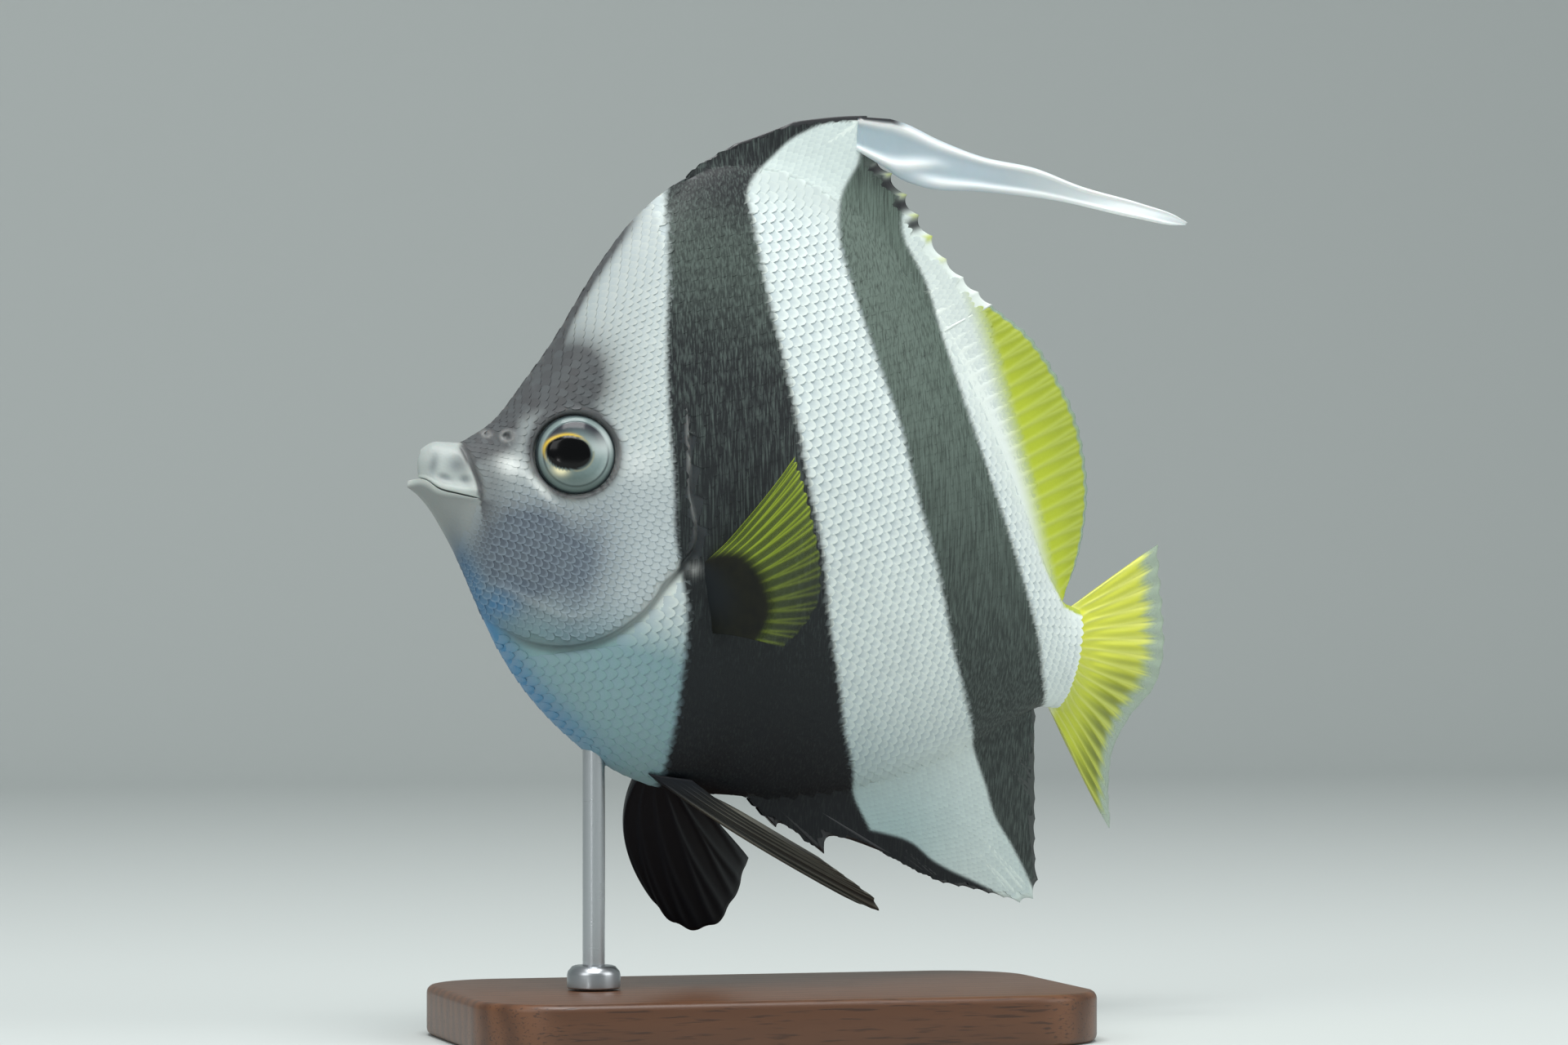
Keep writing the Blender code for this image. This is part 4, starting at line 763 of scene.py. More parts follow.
trunk_roots = scale_rows(20.0, 119.2, TRUNK_SIZE)
behind, _, free = gill_slot(*trunk_roots[:2])
trunk_roots = trunk_roots[:, behind > 2.1 * free - 0.2]
coats = [("trunk", trunk_roots, TRUNK_SIZE)]
for part, start, end, size in (("head", 14.6, 46.0, HEAD_SIZE), ("face", 7.4, 15.2, FACE_SIZE)):
    roots = scale_rows(start, end, size, lambda s: -0.7 * (s - 23.0))
    s, h = roots[:2]
    behind, _, free = gill_slot(s, h)
    past_jaw, _ = nearest(jaw_rear, s, h)
    clear_of = np.hypot(s - EYE[0], h - EYE[1]) > EYE_BARE + 0.4
    clear_of &= (past_jaw > 0.7) & (behind < 0.2 - 1.3 * free)
    for centre_s, centre_h, radius in NOSTRILS:
        clear_of &= np.hypot(s - centre_s, h - centre_h) > radius + 0.7
    coats.append((part, roots[:, clear_of], size))
for name, side in (("left", -1), ("right", 1)):
    for part, roots, size in coats:
        s, h = roots[:2]
        if part == "trunk":
            climb = (1 - step(0.5, 9.0, back(s) - h)) * window(28.0, 40.0, 104.0, 116.0, s)
            sink = (1 - step(0.5, 8.0, h - belly(s))) * window(60.0, 70.0, 104.0, 116.0, s)
            slope = np.where(h > midline(s), 0.0, 0.2) + 0.75 * climb - 0.95 * sink
        else:
            upward = step(8.0, 24.0, h) * (1 - step(6.0, 20.0, back(s) - h))
            slope = math.radians(-24.0) * (1 - step(6.0, 18.0, h)) + math.radians(45.0) * upward
        scale_coat(f"{part}_scales_{name}", side, roots, slope, size, under_scales, "skin")

# Eyes
# A pair of cast glass eyes, seated in their sockets: a low dome, a silver-grey iris with a thin gold line
# round a large black pupil that is drawn out a little forward and down, and a dark rim. On the iris a
# painted glint below the pupil, a painted highlight on its upper rear, and painted shade over its top and
# bottom.
EYE_DEPTH = 3.2
EYE_SUNK = 1.4
PUPIL = (-0.9, -0.1, 3.35, 2.6)
PUPIL_POINT = (0.13, math.radians(205.0))
GOLD_TURN, SHADE_TURN = math.radians(130.0), math.radians(115.0)
LENS_BULGE, RIM_GROOVE = 0.16, 0.14
IRIS_FIBRE = 0.5
IRIS_STOPS = [(0.0, "#748685"), (0.62, "#829694"), (0.76, "#a3b4b2"), (0.80, "#485254"), (0.835, "#8a9a98"),
              (0.91, "#6f7e7c"), (0.945, "#262c2e"), (1.0, "#101416")]

# Clear glass over a painted iris: a low roughness gives it small, sharp reflections
eye_finish, tree, place = new_finish("cast_glass_eye", Roughness=0.15, Specular_IOR_Level=0.25)
ramp = node(tree, "ValToRGB", {0: read(tree, "radial")})
stops = ramp.color_ramp.elements
for number, (at, code) in enumerate(IRIS_STOPS):
    stop = stops[number] if number < 2 else stops.new(at)
    stop.position = at
    stop.color = colour(code)
fibre = node(tree, "TexNoise", {"Vector": place, "Scale": 1 / (IRIS_FIBRE * MM), "Detail": 4.0})
feed(tree, Base_Color=tinted(tree, ramp.outputs[0], [
    (fibre.outputs["Fac"], 0.4, "#5d6d70"), ("murk", 0.6, "#4f5f5a"), ("bright", 0.75, "#d5dfdd"),
    ("shade", 0.95, "#24222b"), ("gold", 1.0, "#d8b640"), ("glow", 1.0, "#fbf3c8"),
    ("pupil", 1.0, "#020203")]))

polar, turn = np.meshgrid(np.linspace(0.0, np.pi, 65), np.linspace(0.0, 2 * np.pi, 97)[:-1], indexing="ij")
x, y = EYE_RADIUS * np.sin(polar) * np.cos(turn), EYE_RADIUS * np.sin(polar) * np.sin(turn)
out_share = np.hypot(x, y) / EYE_RADIUS
pupil_x, pupil_y = x - PUPIL[0], y - PUPIL[1]
pupil_turn = np.arctan2(pupil_y, pupil_x)
pupil_share = np.hypot(pupil_x / PUPIL[2], pupil_y / PUPIL[3])
pupil_share = pupil_share * (1 - PUPIL_POINT[0] * hump(np.cos(pupil_turn - PUPIL_POINT[1]) - 1, 0.35))
outer = polar < 0.5 * np.pi
dome = LENS_BULGE * (1 - step(0.8, 1.05, pupil_share)) - RIM_GROOVE * hump(out_share - 0.84, 0.02)
local = np.stack([x, y, EYE_DEPTH * np.cos(polar) + np.where(outer, dome, 0.0)], axis=-1)
on_iris = (pupil_share > 1.1) * (out_share < 0.93)
gold_side = step(-0.1, 0.9, np.cos(pupil_turn - GOLD_TURN))
upper_side = step(-0.3, 0.7, np.cos(turn - SHADE_TURN))
# Painted light on the eye: shade is painted shade over the iris's top, murk painted shade over
# its bottom, bright a painted highlight on its upper rear, and glow a painted glint below the pupil.
eye_values = {
    "radial": out_share, "pupil": 1 - step(0.96, 1.03, pupil_share),
    "gold": hump(pupil_share - 1.07, 0.035 + 0.05 * gold_side) * (0.2 + 0.8 * gold_side),
    "shade": upper_side * step(0.3, 0.75, out_share) * (out_share < 0.79),
    "glow": np.minimum(1.3 * hump(np.hypot((x + 1.8) / 1.4, y + 3.0), 0.8) * (pupil_share > 1.06), 1.0),
    "bright": hump(np.hypot(x - 3.4, y - 2.4), 1.9) * on_iris, "murk": step(1.0, 4.5, -y) * on_iris}
eye_values = {key: value * outer for key, value in eye_values.items()}
index = np.arange(polar.size).reshape(polar.shape)
index = np.concatenate([index, index[:, :1]], axis=1)
for name, side in (("left", -1), ("right", 1)):
    around = np.array(EYE) + [(0.0, 0.0), (0.5, 0.0), (-0.5, 0.0), (0.0, 0.5), (0.0, -0.5)]
    at, after, before, over, under = posed(np.column_stack([around, side * half_width(*around.T)]))
    tailwards = (after - before) / np.linalg.norm(after - before)
    outwards = np.cross(tailwards, over - under) * -side
    outwards = outwards / np.linalg.norm(outwards)
    upwards = np.cross(outwards, tailwards)
    upwards = upwards * np.sign(upwards[2])
    world = at - outwards * EYE_SUNK * MM + local @ np.stack([tailwards, upwards, outwards]) * MM
    eye_mesh = mesh_from(f"eyeball_{name}", world.reshape(-1, 3), quads(index))
    set_values(eye_mesh, eye_values)
    close_up(eye_mesh, 1e-6)
    piece(eye_mesh, eye_finish, "eye", f"eye_{name}")

# Spiny dorsal fin
# Twelve stiff spines joined by a thin skin that is notched between them, cast as one plate. The two
# bands run up into it, its front edge is dark, and the rear spines end in dark, pale-tipped points.
DORSAL_SPINES = [(31.2, 34.7, 61.5), (34.6, 38.8, 65.4), (39.6, 47.3, 71.2), (46.0, 59.0, 75.3),
                 (52.0, 65.5, 67.6), (57.0, 68.9, 65.0), (62.0, 71.8, 62.4), (66.5, 75.0, 59.8),
                 (70.5, 78.4, 56.9), (74.0, 82.2, 54.9), (77.0, 85.6, 53.3), (79.6, 88.8, 52.0)]
PENNANT_SPINE = 3
PENNANT_FOOT = (54.1, 62.3, 69.0)
DORSAL_NOTCH = [0.04, 0.03, -0.03, 0.0, 0.05, 0.08, 0.09, 0.1, 0.1, 0.08, 0.07, 0.05]
SPINE_HEIGHT = 0.15
SPINY_MARGIN = 1.7


def rays_at(phase, out, width=0.15, spread=0.2, fork=0.45):
    """Height of the rays from 0 to 1: a bell on each whole number, which forks in two further out."""
    off = (phase + 0.5) % 1 - 0.5
    apart = spread * step(fork, 1.0, out)
    return np.maximum(hump(off - apart, width), hump(off + apart, width))


def plate(name, grid, half, values, side=1):
    """A closed thin plate: a grid moved both ways along its normal by half, joined round its rim."""
    grid = grid * (1.0, 1.0, side)
    normal = np.cross(np.gradient(grid, axis=0), np.gradient(grid, axis=1))
    normal = normal / np.linalg.norm(normal, axis=-1, keepdims=True)
    lift = half[..., None] * normal
    index = np.arange(half.size).reshape(half.shape)
    rim = np.concatenate([index[:-1, 0], index[-1, :-1], index[:0:-1, -1], index[0, :0:-1]])
    after = np.roll(rim, -1)
    wall = np.stack([rim, after, after + half.size, rim + half.size], axis=1)
    faces = np.concatenate([quads(index), quads(index)[:, ::-1] + half.size, wall])
    world = posed(np.concatenate([(grid - lift).reshape(-1, 3), (grid + lift).reshape(-1, 3)]))
    mesh = mesh_from(name, world, faces)
    set_values(mesh, {key: np.tile(np.ravel(value), 2) for key, value in values.items()})
    close_up(mesh, 1e-6)
    return mesh


def thinned(half, outs, by=0.6, start=0.9):
    """Half a fin's thickness, less by of it at the edge: half (1 - by step), the step from start out."""
    return half * (1 - by * step(start, 1.0, outs))


def ray_numbers(rays, between):
    """Ray numbers from 0 to the last ray, with steps between neighbours, and their shares from 0 to 1."""
    phase = np.linspace(0.0, rays - 1.0, (rays - 1) * between + 1)
    return phase, phase / phase[-1]


def notched(phase, stations, base_s, tips, notch, outline, sink):
    """Roots on an outline and tips. The edge runs straight from tip to tip, drawn in by 4 f (1 - f) notch.

    Here f is the share of the way between two tips, and notch a share of the ray's length.
    """
    number = np.clip(np.searchsorted(stations, phase, side="right") - 1, 0, len(stations) - 2)
    f = (phase - stations[number]) / (stations[number + 1] - stations[number])
    edge = np.stack([np.interp(phase, stations, column) for column in tips.T], axis=-1)
    s = np.interp(phase, stations, base_s)
    roots = np.column_stack([s, outline(s) + sink])
    return roots, edge + (4 * f * (1 - f) * np.asarray(notch)[number])[:, None] * (roots - edge)


def fan(phase, roots, tips, count):
    """The surface root + (tip - root) out at count values of out, and each point's ray number and out."""
    phases, outs = np.meshgrid(phase, np.linspace(0.0, 1.0, count), indexing="ij")
    return roots[:, None] + (tips - roots)[:, None] * outs[..., None], phases, outs


def upright_fin(phase, roots, tips, count, sway=0.0, wave=1.0):
    """A fin on the back or belly: a fan that sways sideways by sway sin(2 pi phase / wave) out^2.

    Gives its points, their ray numbers and outs, and their distances from the body and to the edge.
    """
    grid, phases, outs = fan(phase, roots, tips, count)
    length = np.linalg.norm(tips - roots, axis=1)[:, None]
    grid = np.dstack([grid, sway * np.sin(2 * np.pi * phases / wave) * outs**2])
    return grid, phases, outs, length * outs - FIN_SUNK, length * (1 - outs)


def fin_marks(grid, *absent):
    """The body's markings on a fin, without those named."""
    return {key: value for key, value in markings(grid[..., 0], grid[..., 1]).items() if key not in absent}


def fin_finish(name, streak):
    """Fin skin: the body's markings under ray lines, with see-through edges, and streaks as bump."""
    material, tree, place = new_finish(name, Roughness=0.42, Coat_Weight=0.2, Coat_Roughness=0.25)
    fine = node(tree, "TexNoise", {"Vector": place, "Scale": 1 / (streak * MM), "Detail": 2.0}).outputs["Fac"]
    bump = node(tree, "Bump", {"Height": fine, "Strength": 0.3, "Distance": 0.06 * MM}).outputs[0]
    feed(tree, Alpha=read(tree, "not clear"), Normal=bump, Base_Color=tinted(tree, SILVER_WHITE, [
        *MARK_LAYERS, ("lemon", 0.8, "#e6ea4e"), ("ray", 0.35, "#eef3ea"), ("fold", 0.7, "#4f5e12"),
        ("rim", 0.8, "#9fbfb4")]))
    return material


banded_finish = fin_finish("banded_fin_skin", 0.7)
spines = np.array(DORSAL_SPINES[:PENNANT_SPINE + 1] + [PENNANT_FOOT] + DORSAL_SPINES[PENNANT_SPINE + 1:])
stations = np.insert(np.arange(len(DORSAL_SPINES), dtype=float), PENNANT_SPINE + 1, PENNANT_SPINE + 0.5)
phase, _ = ray_numbers(len(DORSAL_SPINES), 12)
roots, tips = notched(phase, stations, spines[:, 0], spines[:, 1:], DORSAL_NOTCH, back, -FIN_SUNK)
grid, phases, outs, from_body, to_edge = upright_fin(phase, roots, tips, 34)
spine = rays_at(phases, outs, width=0.11, spread=0.0)
stout = SPINE_HEIGHT * (1 - 0.55 * step(4.0, 5.0, phases))
half = thinned(root_thickness(from_body) + stout * spine * step(0.0, 1.0, from_body), outs)
values = fin_marks(grid, "dusk", "shine")
crescent = (0.5 + 1.2 * hump(phases - 2.5, 0.5)) * step(0.2, 0.8, phases) * (phases < PENNANT_SPINE + 0.04)
values["band"] = np.maximum(values["band"], (crescent > 0) * (1 - step(0.0, 0.5, to_edge - crescent)))
behind = np.where(phases < 4, 2 * phases - 7, phases % 1)
rear = (phases > PENNANT_SPINE + 0.5) * (1 - step(7.6, 8.4, phases))
ink = rear * hump(behind - 0.4, 0.32) * (1 - step(1.2, 3.4, to_edge)) * (1 - step(6.2, 6.9, phases))
tip = rear * np.maximum(hump(behind, 0.16), hump(behind - 1, 0.12)) * (1 - step(0.8, 1.8, to_edge))
values["band"] = np.maximum(values["band"] * (1 - tip), ink)
values["deep"] = np.maximum(values["deep"], ink)
values["ash"] = values["ash"] * (1 - ink) * (1 - tip)
values |= {"yellow": tip * (1 - ink), "ray": 0.5 * spine * (1 - values["band"])}
spiny_rays = roots, tips, SPINY_MARGIN + 0.8 * window(2.6, 3.1, 7.4, 8.2, phase)
piece(plate("spiny_dorsal", grid, half, values), banded_finish, "banded_fin", "dorsal_fin_spines")

# Pennant
# The white streamer that the fourth dorsal spine carries back over the body: a soft strip between two
# thick bright edges, thinning to a point, slightly waved.
PENNANT_TOP = [(59.4, 75.7), (66.1, 75.9), (72.4, 75.0), (80.3, 74.4), (90.5, 75.2), (100.0, 74.9),
               (114.4, 75.5), (122.2, 75.4), (124.4, 75.0)]
PENNANT_BOTTOM = [(62.7, 69.0), (66.6, 67.3), (71.4, 66.9), (81.8, 68.9), (95.9, 71.3),
                  (113.4, 72.8), (122.4, 74.0), (124.4, 74.6)]
STREAMER_ROOT = (57.5, 74.75), (58.5, 69.5)
STREAMER_STREAK = 1.5
pennant_finish, tree, place = new_finish("white_streamer", Roughness=0.35, Coat_Weight=0.3,
                                         Coat_Roughness=0.15, Subsurface_Weight=0.15, Subsurface_Scale=0.002)
streaks = node(tree, "TexNoise", {"Vector": place, "Scale": 1 / (STREAMER_STREAK * MM), "Detail": 2.0})
feed(tree, Base_Color=tinted(tree, "#a9bcc4", [
    (streaks.outputs["Fac"], 0.25, "#8ea3ae"), ("ray", 1.0, "#f7fbfb"), ("band", 1.0, CHARCOAL)]))
f = np.linspace(0.0, 1.0, 110)
top, bottom = through(PENNANT_TOP)(f), through(PENNANT_BOTTOM)(f)
for line, root, count in ((top, STREAMER_ROOT[0], 6), (bottom, STREAMER_ROOT[1], 4)):
    line[:count] = root + (line[count] - root) * (np.arange(count) / count)[:, None]
across = np.linspace(0.0, 1.0, 27)
grid = top[:, None] + (bottom - top)[:, None] * across[:, None]
run = f[:, None]
wave = 0.45 * np.sin(2 * np.pi * (1.7 * run + 0.25 * across)) * step(0.0, 0.2, run)
grid = np.dstack([grid, wave])
middle_ridge = hump(across - np.maximum(0.95 - 2.4 * run, 0.5), 0.1) * (1 - step(0.1, 0.25, run))
ridge = hump(across - 0.12, 0.09) + 0.85 * hump(across - 0.86, 0.09) * step(0.08, 0.2, run) + middle_ridge
web = 0.14 + 0.22 * (1 - step(0.04, 0.14, run))
half = (web + 0.42 * ridge * (1 - 0.5 * run)) * (1 - 0.5 * step(0.9, 1.0, run))
half = half * (0.35 + 0.65 * window(0.0, 0.08, 0.92, 1.0, across))
bright = np.clip(ridge + 0.9 * step(0.25, 0.8, run), 0.0, 1.0)
dark_edge = (1 - step(0.06, 0.11, run)) * (1 - step(0.05, 0.15, across))
pennant_mesh = plate("streamer", grid, half, {"ray": bright, "band": dark_edge})
piece(pennant_mesh, pennant_finish, "white_fin", "pennant")

# Soft dorsal fin
# Twenty-three branched rays in a soft skin: white where the scales climb it, then yellow-green, with
# darker lines between the rays and a thin clear bluish edge.
SOFT_DORSAL_BASE = (79.2, 115.4)
SOFT_DORSAL_EDGE = [(88.5, 51.95), (97.1, 49.0), (105.9, 43.0), (112.9, 35.2), (116.4, 27.7),
                    (117.8, 19.8), (117.2, 13.4), (116.2, 10.2)]
SOFT_DORSAL_RAYS = 23
SOFT_MARGIN = 1.6
RAY_HEIGHT = 0.08


def between_rays(phase):
    """1 midway between two rays and 0 on them: (1 - cos(2 pi phase)) / 2."""
    return 0.5 - 0.5 * np.cos(2 * np.pi * phase)


def scalloped(phase, roots, tips, depth):
    """Tips drawn back midway between the rays, by depth of the ray's length."""
    return tips + (depth * between_rays(phase))[:, None] * (roots - tips)


yellow_finish = fin_finish("yellow_fin_skin", 0.5)
phase, f = ray_numbers(SOFT_DORSAL_RAYS, 9)
roots = along(back, *SOFT_DORSAL_BASE)(f) - (0.0, FIN_SUNK)
tips = scalloped(phase, roots, through(SOFT_DORSAL_EDGE)(f), 0.02)
grid, phases, outs, from_body, to_edge = upright_fin(phase, roots, tips, 36, 0.08, 5.5)
ray = rays_at(phases, outs)
half = thinned(root_thickness(from_body) + RAY_HEIGHT * ray * step(0.5, 3.0, from_body), outs, 0.65)
rim = 1 - step(0.35, 0.8, to_edge)
greener = 0.15 * step(0.3, 0.8, outs) + 0.2 * step(0.9, 1.0, outs) + 0.22 * (1 - ray) * step(0.5, 0.85, outs)
values = fin_marks(grid, "dusk", "shine", "cheek", "blue", "teal")
values |= {"ray": 0.25 * ray, "fold": greener, "rim": rim, "clear": 0.5 * rim}
soft_rays = roots, tips, np.full(len(phase), SOFT_MARGIN)
piece(plate("soft_dorsal", grid, half, values), yellow_finish, "yellow_fin", "dorsal_fin_soft")

# Anal fin
# Three stout spines with a deeply cut skin, then soft rays that reach back to one sharp corner. The white
# wedge between the bands runs out to the corner, over a black lower edge.
ANAL_SPINES = [(63.4, 71.5, -38.0), (66.5, 81.1, -40.3), (70.5, 95.0, -38.2)]
ANAL_BASE = (72.8, 114.0)
ANAL_EDGE = [(98.5, -39.0), (104.0, -40.3), (112.0, -40.2), (119.5, -40.3), (124.6, -39.9), (125.2, -38.2),
             (123.2, -32.0), (121.2, -26.0), (119.0, -19.6), (117.2, -13.6), (116.2, -10.6)]
ANAL_RAYS = 18
ANAL_SPINE_HEIGHT = 0.3
ANAL_MARGIN = 1.8
soft = np.linspace(0.0, 1.0, ANAL_RAYS)
spines = np.array(ANAL_SPINES)
base_s = np.concatenate([spines[:, 0], along(belly, *ANAL_BASE)(soft)[:, 0]])
tips = np.concatenate([spines[:, 1:], through(ANAL_EDGE)(soft)])
stations = np.arange(len(tips), dtype=float)
phase, _ = ray_numbers(len(tips), 10)
notch = np.where(stations < len(spines) - 1, 0.3, 0.02)
roots, tips = notched(phase, stations, base_s, tips, notch, belly, FIN_SUNK)
grid, phases, outs, from_body, to_edge = upright_fin(phase, roots, tips, 36, 0.1, 6.0)
stiff = phases < len(spines) - 0.5
ray = np.where(stiff, rays_at(phases, outs, 0.13, 0.0), rays_at(phases, outs))
stout = np.where(stiff, ANAL_SPINE_HEIGHT, RAY_HEIGHT)
half = thinned(root_thickness(from_body) + stout * ray * step(0.5, 2.5, from_body), outs)
values = fin_marks(grid, "dusk", "shine", "cheek", "blue", "yellow")
edging = (1 - step(0.9, 1.9, to_edge)) * window(0.6, 1.4, 7.4, 8.6, phases)
values["band"] = np.maximum(values["band"], edging)
values["ray"] = 0.4 * ray * (1 - values["band"])
anal_rays = roots, tips, np.full(len(phase), ANAL_MARGIN)
piece(plate("anal_fin_skin", grid, half, values), banded_finish, "banded_fin", "anal_fin")

# Scales of the fins
# Finer scales, 1.1 mm apart, climb both faces of the dorsal and anal fins in rows across the rays, each
# scale pointing out along its ray. They stop short of the edges, and where the yellow begins.
FIN_SIZE = (1.1, 1.0)
FIN_LIFT = 0.03


def fin_rows(roots, tips, margins):
    """Roots in rows across the rays, a pitch apart along them, from the body to each ray's margin.

    Each row is a line at one distance along all rays, and its scales are a row's width apart on that line,
    staggered from row to row. Gives s, h and the turn of the ray.
    """
    pitch, row = FIN_SIZE
    ray = tips - roots
    length = np.linalg.norm(ray, axis=1)
    parts = []
    for number, distance in enumerate(np.arange(0.1, length.max(), pitch)):
        line = roots + ray * ((distance + FIN_SUNK) / length)[:, None]
        run = np.concatenate([[0.0], np.cumsum(np.linalg.norm(np.diff(line, axis=0), axis=1))])
        at = np.arange(0.4 + 0.5 * row * (number % 2), run[-1] - 0.3, row)
        s, h, room, ray_s, ray_h = (np.interp(at, run, value) for value in (
            line[:, 0], line[:, 1], length - FIN_SUNK - distance - margins, ray[:, 0], ray[:, 1]))
        parts.append(np.column_stack([s, h, np.arctan2(ray_h, ray_s)])[room > 0])
    return np.concatenate(parts).T


for fin, rays, outline, rise, slot in (("spiny_dorsal", spiny_rays, back, 1, "banded_fin"),
                                       ("soft_dorsal", soft_rays, back, 1, "yellow_fin"),
                                       ("anal", anal_rays, belly, -1, "banded_fin")):
    s, h, turn = fin_rows(*rays)
    if fin == "soft_dorsal":
        s, h, turn = (value[s < edges["yellow_front"](h) + 1.5] for value in (s, h, turn))

    def plate_half(at_s, at_h, outline=outline, rise=rise):
        """Half the fin's thickness under its scales, from the distance to the body."""
        return root_thickness(rise * (at_h - outline(at_s)) * 0.9) + FIN_LIFT

    girth = (h - midline(s)) * 1.03
    for name, side in (("left", -1), ("right", 1)):
        scale_coat(f"{fin}_scales_{name}", side, (s, h, girth), turn, FIN_SIZE, plate_half, slot)

# Tail fin
# Seventeen rays in pleated skin, bright yellow with painted olive shade in the folds between the rays and
# over the lower lobe, and a clear ragged edge.
# Its lower lobe curls to the far side.
TAIL_EDGE = [(134.8, 22.6, 0.0), (136.6, 18.2, 0.0), (139.8, 11.0, 0.0), (141.8, 5.0, 0.0),
             (142.2, 0.0, 0.8), (141.2, -6.0, 4.0), (140.0, -12.0, 5.0), (138.9, -18.0, 3.0),
             (138.2, -25.0, -0.4)]
TAIL_RAYS = 17
TAIL_START = 117.6
TAIL_RAY = 0.16
PLEAT = 0.4
phase, f = ray_numbers(TAIL_RAYS, 12)
flesh_top, flesh_low = float(back(TAIL_END)), float(belly(TAIL_END))
root_h = flesh_top - 0.9 + f * (flesh_low - flesh_top + 1.8)
roots = np.column_stack([np.full(len(f), TAIL_START), root_h, np.zeros(len(f))])
tips = scalloped(phase, roots, through(TAIL_EDGE)(f), 0.035)
grid, phases, outs = fan(phase, roots, tips, 44)
pleat = PLEAT * (0.4 + 0.6 * step(0.2, 0.5, f))[:, None]
grid[..., 2] = tips[:, None, 2] * outs**2 + pleat * np.cos(2 * np.pi * phases) * step(0.2, 0.7, outs)
ray = rays_at(phases, outs, 0.17, 0.16, 0.35)
flesh = half_width(np.full(outs.shape, TAIL_END), np.clip(grid[..., 1], flesh_low, flesh_top))
half = WEB_HALF + np.maximum(flesh - COAT_DEPTH - WEB_HALF, 0.0) * (1 - step(0.05, 0.42, outs)) ** 1.6
half = thinned(half + TAIL_RAY * ray * step(0.12, 0.3, outs), outs, 0.65, 0.88)
lines = np.sin(phases * 31.0) * np.sin(phases * 17.3 + 2.0)
clear = step(0.77, 0.93, outs + 0.05 * (0.5 - ray) - 0.03 * lines)
upper_part = 1 - step(0.25, 0.75, f)[:, None]
# Painted shade: olive in the folds between the rays, stronger on the lower lobe, and over the lower lobe.
lower_fold_shade = (0.2 + 0.8 * step(0.3, 0.55, f))[:, None]
lower_lobe_shade = 0.22 * step(0.5, 0.85, f)[:, None]
values = {"yellow": step(118.4, 121.2, grid[..., 0] + 0.2 * lines), "ray": 0.35 * ray,
          "lemon": 0.4 + 0.6 * upper_part + 0.2 * ray, "rim": clear, "clear": 0.66 * clear,
          "fold": (lower_fold_shade * (1 - ray) ** 2 * step(0.35, 0.75, outs) + lower_lobe_shade) * (1 - 0.6 * clear)}
piece(plate("tail_fin_skin", grid, half, values), yellow_finish, "yellow_fin", "tail_fin")

# Pectoral fins
# A fleshy dark lobe on each flank, and fifteen yellow-green rays that fan from it in a skin so thin and
# clear that the band shows through between them.
PECTORAL_ROOT = [(46.8, -1.5), (48.4, -5.2), (51.0, -10.6)]
PECTORAL_EDGE = [(52.6, 18.0, 21.0), (54.6, 13.4, 22.8), (56.6, 8.2, 24.0), (58.6, 2.8, 24.5),
                 (59.6, -3.0, 24.4), (58.8, -7.4, 23.0), (57.2, -11.2, 21.0)]
PECTORAL_RAYS = 15
LOBE_HALF = 1.6
LOBE_REACH = [(0.0, 0.12), (0.12, 0.22), (0.3, 0.36), (0.5, 0.45), (0.75, 0.52), (1.0, 0.58)]
CROWDING = 1.3
PECTORAL_WEB, PECTORAL_RAY = 0.1, 0.13
LOBE_MOTTLE = 1.6
pectoral_finish, tree, place = new_finish("clear_rayed_fin", Roughness=0.5, Specular_IOR_Level=0.18)
mottle = node(tree, "TexNoise", {"Vector": place, "Scale": 1 / (LOBE_MOTTLE * MM), "Detail": 3.0})
feed(tree, Alpha=read(tree, "not clear"), Base_Color=tinted(tree, "#5c6c2e", [
    ("ray", 1.0, "#9aad33"), ("dark", 0.7, "#4a5638"), ("lobe", 1.0, "#0b0e10"),
    ((mottle.outputs["Fac"], "lobe"), 0.45, "#30301c"), ("rootward", 1.0, "#1b2023")]))
phase, f = ray_numbers(PECTORAL_RAYS, 12)
root_line = through(PECTORAL_ROOT)(f)
roots = np.column_stack([root_line, half_width(*root_line.T) - 2.0])
tips = through(PECTORAL_EDGE)(f**CROWDING)
_, phases, outs = fan(phase, roots, tips, 44)
drawn = outs - 0.03 * between_rays(phases) * outs**6
grid = roots[:, None] + (tips - roots)[:, None] * drawn[..., None]
grid[..., 2] = roots[:, 2:] + (tips - roots)[:, 2:] * (1 - (1 - outs) ** 1.6)
ray = rays_at(phases, outs, 0.12, 0.2, 0.3)
reach = straight(LOBE_REACH, f)[:, None]
lobe = 1 - step(-0.05, 0.06, outs - reach)
half = PECTORAL_WEB + (LOBE_HALF - PECTORAL_WEB) * (1 - step(0.0, 1.15, outs / (reach + 0.1)))
half = thinned(half + PECTORAL_RAY * ray * step(-0.02, 0.08, outs - reach), outs, start=0.92)
lower_part = step(0.25, 0.75, f)[:, None]
thinner = step(0.4, 1.0, outs) * (0.5 + 0.5 * lower_part)
see_ray = 0.05 + 0.4 * thinner + 0.4 * lower_part
see_web = 0.3 + 0.3 * thinner + 0.35 * lower_part
clear = (1 - lobe) * np.clip(ray * see_ray + (1 - ray) * see_web, 0.0, 0.95)
rootward = (1 - step(0.2, 0.7, outs / reach)) * (f[:, None] > 0.03) * (1 - 0.8 * step(0.5, 0.95, f))[:, None]
